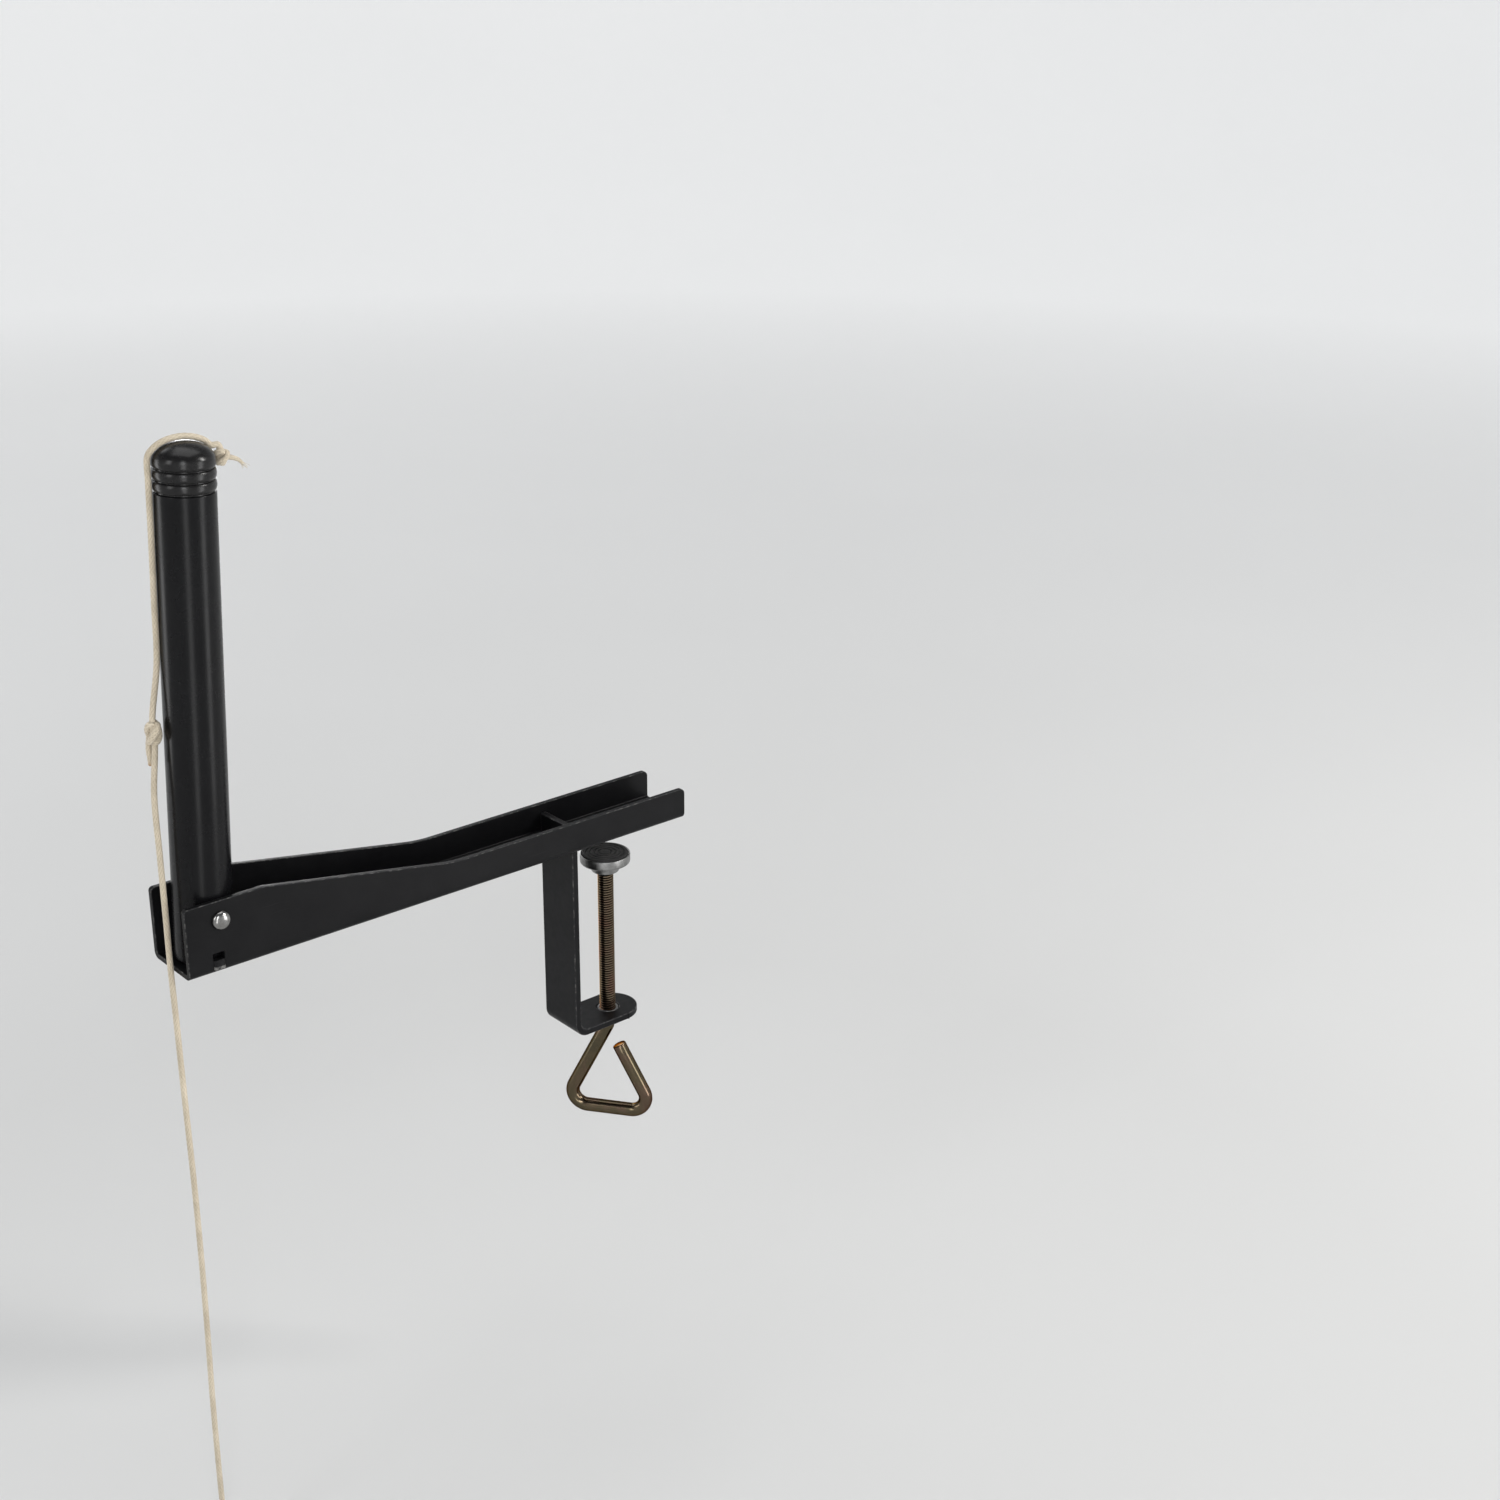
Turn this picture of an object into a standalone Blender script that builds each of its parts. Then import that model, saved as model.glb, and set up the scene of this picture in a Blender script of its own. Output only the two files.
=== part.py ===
"""Table tennis net clamp: a pressed steel arm with a net post at its outer end,
a screw clamp for the table edge at its inner end, and the net's tension cord.

Frame: metres, +Z up. The origin is where the clamp screw's axis meets the arm's
underside, which is the face that sits on the table top. +X runs along the net
towards the middle of the table, and -X is outboard, where the post stands.
"""

import math

import bmesh
import bpy
from mathutils import Matrix, Vector

MM = 0.001

# ---------------------------------------------------------------- dimensions, mm
GAP = 0.3                 # clearance between neighbouring pieces

# arm: an open-topped channel
ARM_OUT_X = -175.0        # outboard end
ARM_TIP_X = 28.6          # end over the table
ARM_WIDTH = 24.0
SHEET = 1.8
BEND_R = 2.4              # outside radius of the two folds
WALL_TALL = 25.2          # wall height round the post
WALL_LOW = 12.2           # wall height over the table
SHOULDER_X = -146.5       # the tall wall starts to slope down
KNEE_X = -73.9            # the slope meets the low wall
LUG_X = -164.3            # lanced lug under the post rivet
LUG_W = 4.2
LUG_HOLE_Z = (4.7, 7.4)
LUG_LIP_Z = 1.6
LUG_PROUD = 0.8

# clamp strap: flat bar bent to an L
STRAP_X = -22.0           # outer face of the leg
STRAP_T = 2.5
STRAP_W = 19.2
STRAP_TOP_Z = 9.0         # the leg's upper end, inside the channel
JAW_BOTTOM_Z = -77.0
JAW_END_X = 11.6
STRAP_BEND_R = 5.5
JAW_HOLE_R = 4.3
SLOT_CLEAR = 0.3

# threaded bush pressed into the jaw
BUSH_BODY_R = 4.0
BUSH_FLANGE_R = 5.6
BUSH_FLANGE_H = 2.6
BUSH_BORE_R = 3.3

# screw and its handle: one bent rod
THREAD_R = 3.0            # M6 outside radius
THREAD_TOP_Z = -17.5
THREAD_END_Z = -80.2
TIP_R = 2.5
TIP_TOP_Z = -13.9
ROD_R = 2.65              # rolled-thread blank
HANDLE_ANGLE = -53.4      # degrees from +X to the handle's plane
HANDLE_APEX_Z = -82.0
HANDLE_BAR_Z = -119.0
HANDLE_HALF_W = 18.3
HANDLE_BEND_R = 6.0
APEX_BEND_R = 5.0
HANDLE_END_Z = -90.6      # cut end of the return leg

# pressure pad
PAD_TOP_Z = -9.5          # its working face, a 9.5 mm table top
FACING_T = 1.6
FACING_R = 8.6
CUP_R = 9.4
CUP_T = 2.2
PAD_BOSS_R = 5.4
PAD_BOSS_H = 3.4
PAD_SOCKET_R = 2.8

# post
PIVOT = (-162.5, 0.0, 18.4)   # rivet axis, parallel to Y
POST_LEAN = 2.8               # degrees, leaning in towards the net
POST_R = 9.6
POST_WALL = 1.2
POST_FOOT = -16.1             # below the rivet, along the post
POST_TOP = 137.3              # above the rivet, along the post
RIVET_R = 2.0
RIVET_HEAD_R = 3.3
RIVET_HEAD_H = 2.1
RIVET_HOLE_R = 2.3

# cap
CAP_BEAD_PITCH = 3.55
CAP_BEAD_R = 9.75
CAP_GROOVE_R = 9.0
CAP_DOME_H = 5.6
CAP_STEM_R = 8.1
CAP_STEM_L = 12.0

# cord
CORD_D = 2.0
CORD_STEP = 5.4
KNOT_CAP_R = (2.3, 2.4, 2.9)
KNOT_MID_R = (2.6, 2.5, 3.6)
KNOT_END_R = (2.9, 2.9, 3.6)
DROP_END_Z = -219.0       # the lower run ends in its knot here


# ---------------------------------------------------------------- scene helpers
for old in list(bpy.data.objects):
    bpy.data.objects.remove(old, do_unlink=True)

COLL = bpy.context.scene.collection


def material(name, rgb, rough, metal):
    m = bpy.data.materials.new(name)
    m.use_nodes = True
    s = m.node_tree.nodes.get("Principled BSDF")
    s.inputs["Base Color"].default_value = (*rgb, 1.0)
    s.inputs["Roughness"].default_value = rough
    s.inputs["Metallic"].default_value = metal
    m.diffuse_color = (*rgb, 1.0)
    return m


M_POWDER = material("black_powder_coat", (0.022, 0.022, 0.025), 0.45, 0.0)
M_GLOSS = material("black_gloss_paint", (0.012, 0.012, 0.014), 0.25, 0.0)
M_PLASTIC = material("black_plastic", (0.020, 0.019, 0.020), 0.35, 0.0)
M_RIVET = material("bright_steel", (0.72, 0.71, 0.69), 0.22, 1.0)
M_ZINC = material("yellow_zinc", (0.52, 0.45, 0.33), 0.32, 1.0)
M_STEEL = material("zinc_steel", (0.55, 0.54, 0.52), 0.35, 1.0)
M_RUBBER = material("black_rubber", (0.018, 0.018, 0.018), 0.8, 0.0)
M_CORD = material("cream_cord", (0.62, 0.55, 0.44), 0.8, 0.0)


def obj_from_bm(name, bm, mat, parent=None, smooth=30.0):
    bmesh.ops.remove_doubles(bm, verts=bm.verts, dist=1e-7)
    bmesh.ops.recalc_face_normals(bm, faces=bm.faces)
    me = bpy.data.meshes.new(name)
    bm.to_mesh(me)
    bm.free()
    ob = bpy.data.objects.new(name, me)
    COLL.objects.link(ob)
    if mat is not None:
        me.materials.append(mat)
    me.shade_smooth()
    me.set_sharp_from_angle(angle=math.radians(smooth))
    if parent is not None:
        ob.parent = parent
    return ob


def empty(name, loc, rot=(0.0, 0.0, 0.0)):
    e = bpy.data.objects.new(name, None)
    e.location = Vector(loc) * MM
    e.rotation_euler = rot
    COLL.objects.link(e)
    return e


def prism_bm(points, lo, hi, plane):
    """A closed prism: points is an outline in the plane "xz", "yz" or "xy",
    drawn from lo to hi along the third axis, all in mm."""
    put = {
        "xz": lambda a, b, t: Vector((a, t, b)),
        "yz": lambda a, b, t: Vector((t, a, b)),
        "xy": lambda a, b, t: Vector((a, b, t)),
    }[plane]
    bm = bmesh.new()
    base = [bm.verts.new(put(a, b, lo) * MM) for a, b in points]
    face = bm.faces.new(base)
    out = bmesh.ops.extrude_face_region(bm, geom=[face])
    verts = [g for g in out["geom"] if isinstance(g, bmesh.types.BMVert)]
    step = put(0.0, 0.0, hi) - put(0.0, 0.0, lo)
    bmesh.ops.translate(bm, verts=verts, vec=step * MM)
    return bm


def rounded(points, radii, seg=6):
    """The outline with each corner rounded by its radius."""
    out = []
    n = len(points)
    for i, (p, r) in enumerate(zip(points, radii)):
        b = Vector(p)
        if r <= 0.0:
            out.append((b.x, b.y))
            continue
        a = Vector(points[i - 1])
        c = Vector(points[(i + 1) % n])
        u = (a - b).normalized()
        v = (c - b).normalized()
        half = u.angle(v) / 2.0
        d = r / math.tan(half)
        mid = (u + v).normalized()
        centre = b + mid * (r / math.sin(half))
        s = b + u * d - centre
        e = b + v * d - centre
        sweep = s.angle_signed(e)
        for k in range(seg + 1):
            t = -sweep * k / seg
            q = Matrix.Rotation(t, 2) @ s + centre
            out.append((q.x, q.y))
    return out


def lathe_bm(profile, seg):
    """A turned solid about Z from (r, z) pairs in mm, listed top to bottom down
    the outer side. An outline that starts and ends on the axis is solid, and any
    other is closed back on itself as a ring."""
    bm = bmesh.new()
    closed_on_axis = profile[0][0] < 1e-9 and profile[-1][0] < 1e-9
    rings = []
    for r, z in profile:
        if r < 1e-9:
            rings.append([bm.verts.new(Vector((0, 0, z)) * MM)])
        else:
            rings.append(
                [
                    bm.verts.new(
                        Vector(
                            (
                                r * math.cos(2 * math.pi * k / seg),
                                r * math.sin(2 * math.pi * k / seg),
                                z,
                            )
                        )
                        * MM
                    )
                    for k in range(seg)
                ]
            )
    pairs = list(zip(rings[:-1], rings[1:]))
    if not closed_on_axis:
        pairs.append((rings[-1], rings[0]))
    for a, b in pairs:
        for k in range(seg):
            j = (k + 1) % seg
            if len(a) == 1:
                bm.faces.new((a[0], b[k], b[j]))
            elif len(b) == 1:
                bm.faces.new((a[k], b[0], a[j]))
            else:
                bm.faces.new((a[k], b[k], b[j], a[j]))
    return bm


def boolean(target, cutter, operation="DIFFERENCE"):
    mod = target.modifiers.new(operation.lower(), "BOOLEAN")
    mod.operation = operation
    mod.solver = "EXACT"
    mod.object = cutter
    cutter.hide_render = True
    cutter.display_type = "WIRE"
    return mod


def cylinder_cutter(name, r, lo, hi, axis, at, seg=24, parent=None):
    bm = lathe_bm([(0, hi), (r, hi), (r, lo), (0, lo)], seg)
    if axis == "y":
        bmesh.ops.rotate(
            bm, verts=bm.verts, matrix=Matrix.Rotation(math.radians(-90), 3, "X")
        )
    ob = obj_from_bm(name, bm, None, parent)
    ob.location = Vector(at) * MM
    return ob


def box_cutter(name, lo, hi):
    pts = [(lo[0], lo[1]), (hi[0], lo[1]), (hi[0], hi[1]), (lo[0], hi[1])]
    return obj_from_bm(name, prism_bm(pts, lo[2], hi[2], "xy"), None)


# ---------------------------------------------------------------- arm channel
half = ARM_WIDTH / 2
inner = half - SHEET
inner_r = BEND_R - SHEET
top = WALL_TALL + 6
u_points = [
    (-half, top), (-half, 0.0), (half, 0.0), (half, top),
    (inner, top), (inner, SHEET), (-inner, SHEET), (-inner, top),
]
u_radii = [0, BEND_R, BEND_R, 0, 0, inner_r, inner_r, 0]
arm = obj_from_bm(
    "arm_channel",
    prism_bm(rounded(u_points, u_radii, 4), ARM_OUT_X - 3, ARM_TIP_X + 3, "yz"),
    M_POWDER,
)
side_points = [
    (ARM_OUT_X, -3.0), (ARM_OUT_X, WALL_TALL), (SHOULDER_X, WALL_TALL),
    (KNEE_X, WALL_LOW), (ARM_TIP_X, WALL_LOW), (ARM_TIP_X, -3.0),
]
side = rounded(side_points, [0, 1.4, 10.0, 60.0, 2.2, 0], 6)
arm_side = obj_from_bm(
    "arm_side_cutter", prism_bm(side, -half - 4, half + 4, "xz"), None
)
boolean(arm, arm_side, "INTERSECT")

slot = box_cutter(
    "strap_slot_cutter",
    (STRAP_X - SLOT_CLEAR, -STRAP_W / 2 - SLOT_CLEAR, -2.0),
    (STRAP_X + STRAP_T + SLOT_CLEAR, STRAP_W / 2 + SLOT_CLEAR, SHEET + 2.0),
)
boolean(arm, slot)
boolean(arm, cylinder_cutter("arm_rivet_cutter", RIVET_HOLE_R, -20, 20, "y", PIVOT))

# the lanced lugs: a window in each wall, with the metal below it pushed outwards
for sgn, tag in ((-1, "near"), (1, "far")):
    window = obj_from_bm(
        f"lug_window_{tag}_cutter",
        prism_bm(
            [
                (sgn * (inner - 1.0), LUG_HOLE_Z[0]),
                (sgn * (half + 2.0), LUG_HOLE_Z[0]),
                (sgn * (half + 2.0), LUG_HOLE_Z[1]),
                (sgn * (inner - 1.0), LUG_HOLE_Z[1]),
            ],
            LUG_X - LUG_W / 2, LUG_X + LUG_W / 2, "yz",
        ),
        None,
    )
    boolean(arm, window)
    lip = obj_from_bm(
        f"lug_lip_{tag}_cutter",
        prism_bm(
            [
                (sgn * (half - 0.7), LUG_HOLE_Z[0] - 0.05),
                (sgn * (half + LUG_PROUD), LUG_HOLE_Z[0] - 0.05),
                (sgn * (half + LUG_PROUD * 0.55), LUG_LIP_Z + 1.0),
                (sgn * (half - 0.45), LUG_LIP_Z),
            ],
            LUG_X - LUG_W / 2 + 0.15, LUG_X + LUG_W / 2 - 0.15, "yz",
        ),
        None,
    )
    boolean(arm, lip, "UNION")

# ---------------------------------------------------------------- clamp strap
x0, x1 = STRAP_X, STRAP_X + STRAP_T
zb, zt = JAW_BOTTOM_Z, JAW_BOTTOM_Z + STRAP_T
strap_points = [
    (x0, STRAP_TOP_Z), (x0, zb), (JAW_END_X + 2, zb), (JAW_END_X + 2, zt),
    (x1, zt), (x1, STRAP_TOP_Z),
]
strap_outline = rounded(
    strap_points, [0, STRAP_BEND_R, 0, 0, STRAP_BEND_R - STRAP_T, 0], 6
)
strap = obj_from_bm(
    "clamp_strap",
    prism_bm(strap_outline, -STRAP_W / 2, STRAP_W / 2, "xz"),
    M_POWDER,
)
hw = STRAP_W / 2
plan = rounded(
    [(x0 - 4, -hw - 3), (JAW_END_X, -hw - 3), (JAW_END_X, hw + 3), (x0 - 4, hw + 3)],
    [0, 0, 0, 0],
)
end_arc = [
    (
        JAW_END_X - hw + hw * math.cos(math.radians(a)),
        hw * math.sin(math.radians(a)),
    )
    for a in range(-84, 85, 12)
]
plan = [(x0 - 4, -hw - 3), (JAW_END_X - hw, -hw - 3)] + end_arc + [
    (JAW_END_X - hw, hw + 3), (x0 - 4, hw + 3),
]
strap_plan = obj_from_bm("strap_plan_cutter", prism_bm(plan, -95, 20, "xy"), None)
boolean(strap, strap_plan, "INTERSECT")
boolean(
    strap,
    cylinder_cutter("jaw_hole_cutter", JAW_HOLE_R, zb - 3, zt + 3, "z", (0, 0, 0), 32),
)

# fillet welds in the corners between the strap's leg and the channel walls
for sgn, tag in ((-1, "near"), (1, "far")):
    wx = STRAP_X + STRAP_T + GAP
    wy = inner - GAP
    bead = [
        (wx, sgn * (wy - 2.3)), (wx + 0.9, sgn * (wy - 2.0)),
        (wx + 1.7, sgn * (wy - 1.3)), (wx + 2.1, sgn * (wy - 0.5)),
        (wx + 2.2, sgn * wy), (wx, sgn * wy),
    ]
    obj_from_bm(
        f"strap_weld_{tag}",
        prism_bm(bead, SHEET + 0.9, STRAP_TOP_Z - 0.8, "xy"),
        M_POWDER,
    )

# ---------------------------------------------------------------- jaw bush
fl_top = JAW_BOTTOM_Z - GAP
fl_bot = fl_top - BUSH_FLANGE_H
obj_from_bm(
    "jaw_bush",
    lathe_bm(
        [
            (BUSH_BORE_R, zt - 0.2), (BUSH_BODY_R, zt - 0.2), (BUSH_BODY_R, fl_top),
            (BUSH_FLANGE_R, fl_top), (BUSH_FLANGE_R, fl_bot + 0.4),
            (BUSH_FLANGE_R - 0.4, fl_bot), (BUSH_BORE_R, fl_bot),
        ],
        32,
    ),
    M_STEEL,
)

# ---------------------------------------------------------------- screw and handle
spin = empty("screw_axis", (0, 0, 0))


def arc_corner(prev, corner, nxt, radius, seg):
    """Points of the bend of a given centre-line radius at a corner, in the
    handle's own plane."""
    a, b, c = Vector(prev), Vector(corner), Vector(nxt)
    u = (a - b).normalized()
    v = (c - b).normalized()
    h = u.angle(v) / 2
    d = radius / math.tan(h)
    centre = b + (u + v).normalized() * (radius / math.sin(h))
    s = b + u * d - centre
    e = b + v * d - centre
    sweep = s.angle_signed(e)
    return [tuple(Matrix.Rotation(-sweep * k / seg, 2) @ s + centre) for k in range(seg + 1)]


slope = HANDLE_HALF_W / (HANDLE_APEX_Z - HANDLE_BAR_Z)
apex = (0.0, HANDLE_APEX_Z)
left = (-HANDLE_HALF_W, HANDLE_BAR_Z)
right = (HANDLE_HALF_W, HANDLE_BAR_Z)
end = (slope * (HANDLE_APEX_Z - HANDLE_END_Z), HANDLE_END_Z)
path = [((0.0, TIP_TOP_Z), TIP_R), ((0.0, THREAD_TOP_Z + 0.45), TIP_R)]
path += [((0.0, THREAD_TOP_Z), THREAD_R), ((0.0, THREAD_END_Z + 0.4), THREAD_R)]
path += [((0.0, THREAD_END_Z), ROD_R)]
path += [(q, ROD_R) for q in arc_corner((0, TIP_TOP_Z), apex, left, APEX_BEND_R, 4)]
path += [(q, ROD_R) for q in arc_corner(apex, left, right, HANDLE_BEND_R, 9)]
path += [(q, ROD_R) for q in arc_corner(left, right, end, HANDLE_BEND_R, 9)]
path += [(end, ROD_R)]

ang = math.radians(HANDLE_ANGLE)
curve = bpy.data.curves.new("screw_handle", "CURVE")
curve.dimensions = "3D"
curve.bevel_depth = THREAD_R * MM
curve.bevel_resolution = 6
curve.use_fill_caps = True
spline = curve.splines.new("POLY")
spline.points.add(len(path) - 1)
for point, ((u, z), r) in zip(spline.points, path):
    point.co = (u * math.cos(ang) * MM, u * math.sin(ang) * MM, z * MM, 1.0)
    point.radius = r / THREAD_R
curve.materials.append(M_ZINC)
screw = bpy.data.objects.new("screw_handle", curve)
COLL.objects.link(screw)
screw.parent = spin

# ---------------------------------------------------------------- pressure pad
slide = empty("pad_slide", (0, 0, 0))
facing_bottom = PAD_TOP_Z - FACING_T
cup_top = facing_bottom - GAP
cup_bottom = cup_top - CUP_T
boss_bottom = cup_bottom - PAD_BOSS_H
obj_from_bm(
    "pad_facing",
    lathe_bm(
        [
            (0, PAD_TOP_Z), (FACING_R - 0.5, PAD_TOP_Z), (FACING_R, PAD_TOP_Z - 0.5),
            (FACING_R, facing_bottom), (0, facing_bottom),
        ],
        32,
    ),
    M_RUBBER,
    slide,
)
obj_from_bm(
    "pressure_pad",
    lathe_bm(
        [
            (0, cup_top), (FACING_R + GAP, cup_top),
            (FACING_R + GAP, cup_top + 0.9), (CUP_R, cup_top + 0.9),
            (CUP_R, cup_bottom + 0.6), (CUP_R - 0.6, cup_bottom),
            (PAD_BOSS_R + 0.8, cup_bottom), (PAD_BOSS_R, cup_bottom - 0.8),
            (PAD_BOSS_R - 0.3, boss_bottom), (PAD_SOCKET_R, boss_bottom),
            (PAD_SOCKET_R, TIP_TOP_Z + GAP), (0, TIP_TOP_Z + GAP),
        ],
        32,
    ),
    M_STEEL,
    slide,
)

# ---------------------------------------------------------------- post
post = empty("post_seat", PIVOT, (0.0, math.radians(POST_LEAN), 0.0))
tube = obj_from_bm(
    "post_tube",
    lathe_bm(
        [
            (POST_R - POST_WALL, POST_TOP), (POST_R - 0.3, POST_TOP),
            (POST_R, POST_TOP - 0.3), (POST_R, POST_FOOT + 0.3),
            (POST_R - 0.3, POST_FOOT), (POST_R - POST_WALL, POST_FOOT),
        ],
        40,
    ),
    M_GLOSS,
    post,
)
tube_hole = cylinder_cutter(
    "post_rivet_cutter", RIVET_HOLE_R, -20, 20, "y", (0, 0, 0), 24, post
)
boolean(tube, tube_hole)

# cap: a stem in the tube, three beads and a dome
beads = []
bead_r = CAP_BEAD_R - CAP_GROOVE_R
for k in range(2, -1, -1):
    z_lo = POST_TOP + GAP + CAP_BEAD_PITCH * k
    if k == 2:
        continue
    mid = z_lo + CAP_BEAD_PITCH / 2
    for a in (90, 60, 30, 0, -30, -60, -90):
        beads.append(
            (
                CAP_GROOVE_R + bead_r * math.cos(math.radians(a)),
                mid + (CAP_BEAD_PITCH / 2 - 0.18) * math.sin(math.radians(a)),
            )
        )
dome_base = POST_TOP + GAP + CAP_BEAD_PITCH * 2 + 2.2
dome = [
    (
        CAP_BEAD_R * math.sin(math.radians(a)),
        dome_base + CAP_DOME_H * math.cos(math.radians(a)),
    )
    for a in (0, 12, 24, 36, 48, 60, 70, 80, 90)
]
shoulder_z = POST_TOP + GAP + CAP_BEAD_PITCH * 2
shoulder = [
    (CAP_BEAD_R, shoulder_z + 1.5),
    (CAP_BEAD_R - 0.2, shoulder_z + 0.75),
    (CAP_GROOVE_R, shoulder_z + 0.15),
]
rim_z = POST_TOP + GAP
stem = [
    (CAP_STEM_R, rim_z), (CAP_STEM_R, POST_TOP - CAP_STEM_L + 1.0),
    (CAP_STEM_R - 1.0, POST_TOP - CAP_STEM_L), (0, POST_TOP - CAP_STEM_L),
]
cap_profile = dome + shoulder + beads + stem
obj_from_bm("post_cap", lathe_bm(cap_profile, 40), M_PLASTIC, post, smooth=35)

# rivet: shank with a domed head on each side
head = []
for a in (0, 20, 40, 60, 75, 90):
    t = math.radians(a)
    head.append(
        (RIVET_HEAD_R * math.sin(t), half + GAP + RIVET_HEAD_H * math.cos(t))
    )
rivet_profile = head + [(RIVET_R, half + GAP), (RIVET_R, -half - GAP)]
rivet_profile += [(r, -z) for r, z in reversed(head)]
rivet_bm = lathe_bm(rivet_profile, 24)
bmesh.ops.rotate(
    rivet_bm, verts=rivet_bm.verts, matrix=Matrix.Rotation(math.radians(-90), 3, "X")
)
rivet = obj_from_bm("post_rivet", rivet_bm, M_RIVET)
rivet.location = Vector(PIVOT) * MM

# ---------------------------------------------------------------- cord
lean = math.radians(POST_LEAN)
CORD_R = CORD_D / 2


def post_point(dx, dy, dz):
    """A point in the post's own frame, dz along the post from the rivet."""
    x = PIVOT[0] + dx * math.cos(lean) + dz * math.sin(lean)
    z = PIVOT[2] - dx * math.sin(lean) + dz * math.cos(lean)
    return Vector((x, PIVOT[1] + dy, z))


def smooth_route(knots, step):
    """Evenly spaced points on one smooth curve through the route's points."""
    pts = [knots[0] * 2 - knots[1]] + knots + [knots[-1] * 2 - knots[-2]]
    fine = []
    for i in range(1, len(pts) - 2):
        p0, p1, p2, p3 = pts[i - 1 : i + 3]
        t0 = 0.0
        t1 = t0 + (p1 - p0).length ** 0.5
        t2 = t1 + (p2 - p1).length ** 0.5
        t3 = t2 + (p3 - p2).length ** 0.5
        for k in range(24):
            t = t1 + (t2 - t1) * k / 24
            a1 = p0 * ((t1 - t) / (t1 - t0)) + p1 * ((t - t0) / (t1 - t0))
            a2 = p1 * ((t2 - t) / (t2 - t1)) + p2 * ((t - t1) / (t2 - t1))
            a3 = p2 * ((t3 - t) / (t3 - t2)) + p3 * ((t - t2) / (t3 - t2))
            b1 = a1 * ((t2 - t) / (t2 - t0)) + a2 * ((t - t0) / (t2 - t0))
            b2 = a2 * ((t3 - t) / (t3 - t1)) + a3 * ((t - t1) / (t3 - t1))
            fine.append(b1 * ((t2 - t) / (t2 - t1)) + b2 * ((t - t1) / (t2 - t1)))
    fine.append(knots[-1].copy())
    total = sum((b - a).length for a, b in zip(fine, fine[1:]))
    n = max(2, round(total / step))
    out = [fine[0].copy()]
    want = total / n
    run = 0.0
    for a, b in zip(fine, fine[1:]):
        seg = (b - a).length
        while run + seg >= want - 1e-9 and len(out) < n:
            f = (want - run) / seg
            a = a.lerp(b, f)
            out.append(a.copy())
            seg = (b - a).length
            run = 0.0
        run += seg
    out.append(fine[-1].copy())
    return out, total


def cord_tube(name, points):
    c = bpy.data.curves.new(name, "CURVE")
    c.dimensions = "3D"
    c.bevel_depth = CORD_R * MM
    c.bevel_resolution = 2
    c.use_fill_caps = True
    s = c.splines.new("POLY")
    s.points.add(len(points) - 1)
    for p, q in zip(s.points, points):
        p.co = (q.x * MM, q.y * MM, q.z * MM, 1.0)
    c.materials.append(M_CORD)
    ob = bpy.data.objects.new(name, c)
    COLL.objects.link(ob)
    return ob


def knot(name, at, radii):
    bm = bmesh.new()
    bmesh.ops.create_uvsphere(bm, u_segments=16, v_segments=10, radius=1.0)
    bmesh.ops.scale(bm, vec=Vector(radii) * MM, verts=bm.verts)
    ob = obj_from_bm(name, bm, M_CORD, smooth=60)
    ob.location = at * MM
    return ob


lift = CORD_R + 0.5       # centre line above the surface it lies on
over = []
for a in (62, 44, 24, 4, -16, -36, -56, -76):
    t = math.radians(a)
    over.append(
        post_point(
            (CAP_BEAD_R + lift) * math.sin(t),
            0.5 + 1.3 * (62 - a) / 138,
            dome_base + (CAP_DOME_H + lift) * math.cos(t),
        )
    )
knot_cap_at = post_point(CAP_BEAD_R + KNOT_CAP_R[0] + 0.4, 0.0, dome_base - 0.6)
knot_mid_at = post_point(-(POST_R + KNOT_MID_R[0] + 0.35), 2.9, 61.5)
knot_end_at = Vector((-176.9, -1.2, DROP_END_Z - KNOT_END_R[2] - GAP))

side_r = POST_R + lift
upper = [knot_cap_at + Vector((-0.5, 0.1, KNOT_CAP_R[2] + GAP + 0.5))]
upper += over
upper += [
    post_point(-side_r - 0.25, 2.0, POST_TOP + 4.0),
    post_point(-side_r, 2.3, POST_TOP - 12.0),
    post_point(-side_r, 2.6, POST_TOP - 34.0),
    post_point(-side_r - 0.3, 2.8, 84.0),
    knot_mid_at + Vector((0.0, 0.0, KNOT_MID_R[2] + GAP)),
]
lower = [
    knot_mid_at + Vector((0.0, -0.1, -KNOT_MID_R[2] - GAP)),
    Vector((-174.2, 2.2, 60.0)),
    Vector((-174.9, 1.0, 40.0)),
    Vector((-175.7, -0.6, 20.0)),
    Vector((-176.3, -1.6, 2.0)),
    Vector((-176.3, -2.0, -20.0)),
    Vector((-176.2, -2.2, -48.0)),
    Vector((-175.9, -2.2, -78.0)),
    Vector((-175.9, -2.0, -108.0)),
    Vector((-176.2, -1.7, -138.0)),
    Vector((-176.7, -1.4, -168.0)),
    Vector((-176.9, -1.3, -196.0)),
    Vector((-176.9, -1.2, DROP_END_Z)),
]
upper_points, upper_len = smooth_route(upper, CORD_STEP)
lower_points, lower_len = smooth_route(lower, CORD_STEP)
cord_tube("cord_over_cap", upper_points)
cord_tube("cord_drop", lower_points)
knot("cord_knot_cap", knot_cap_at, KNOT_CAP_R)
knot("cord_knot_mid", knot_mid_at, KNOT_MID_R)
knot("cord_knot_end", knot_end_at, KNOT_END_R)

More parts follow.
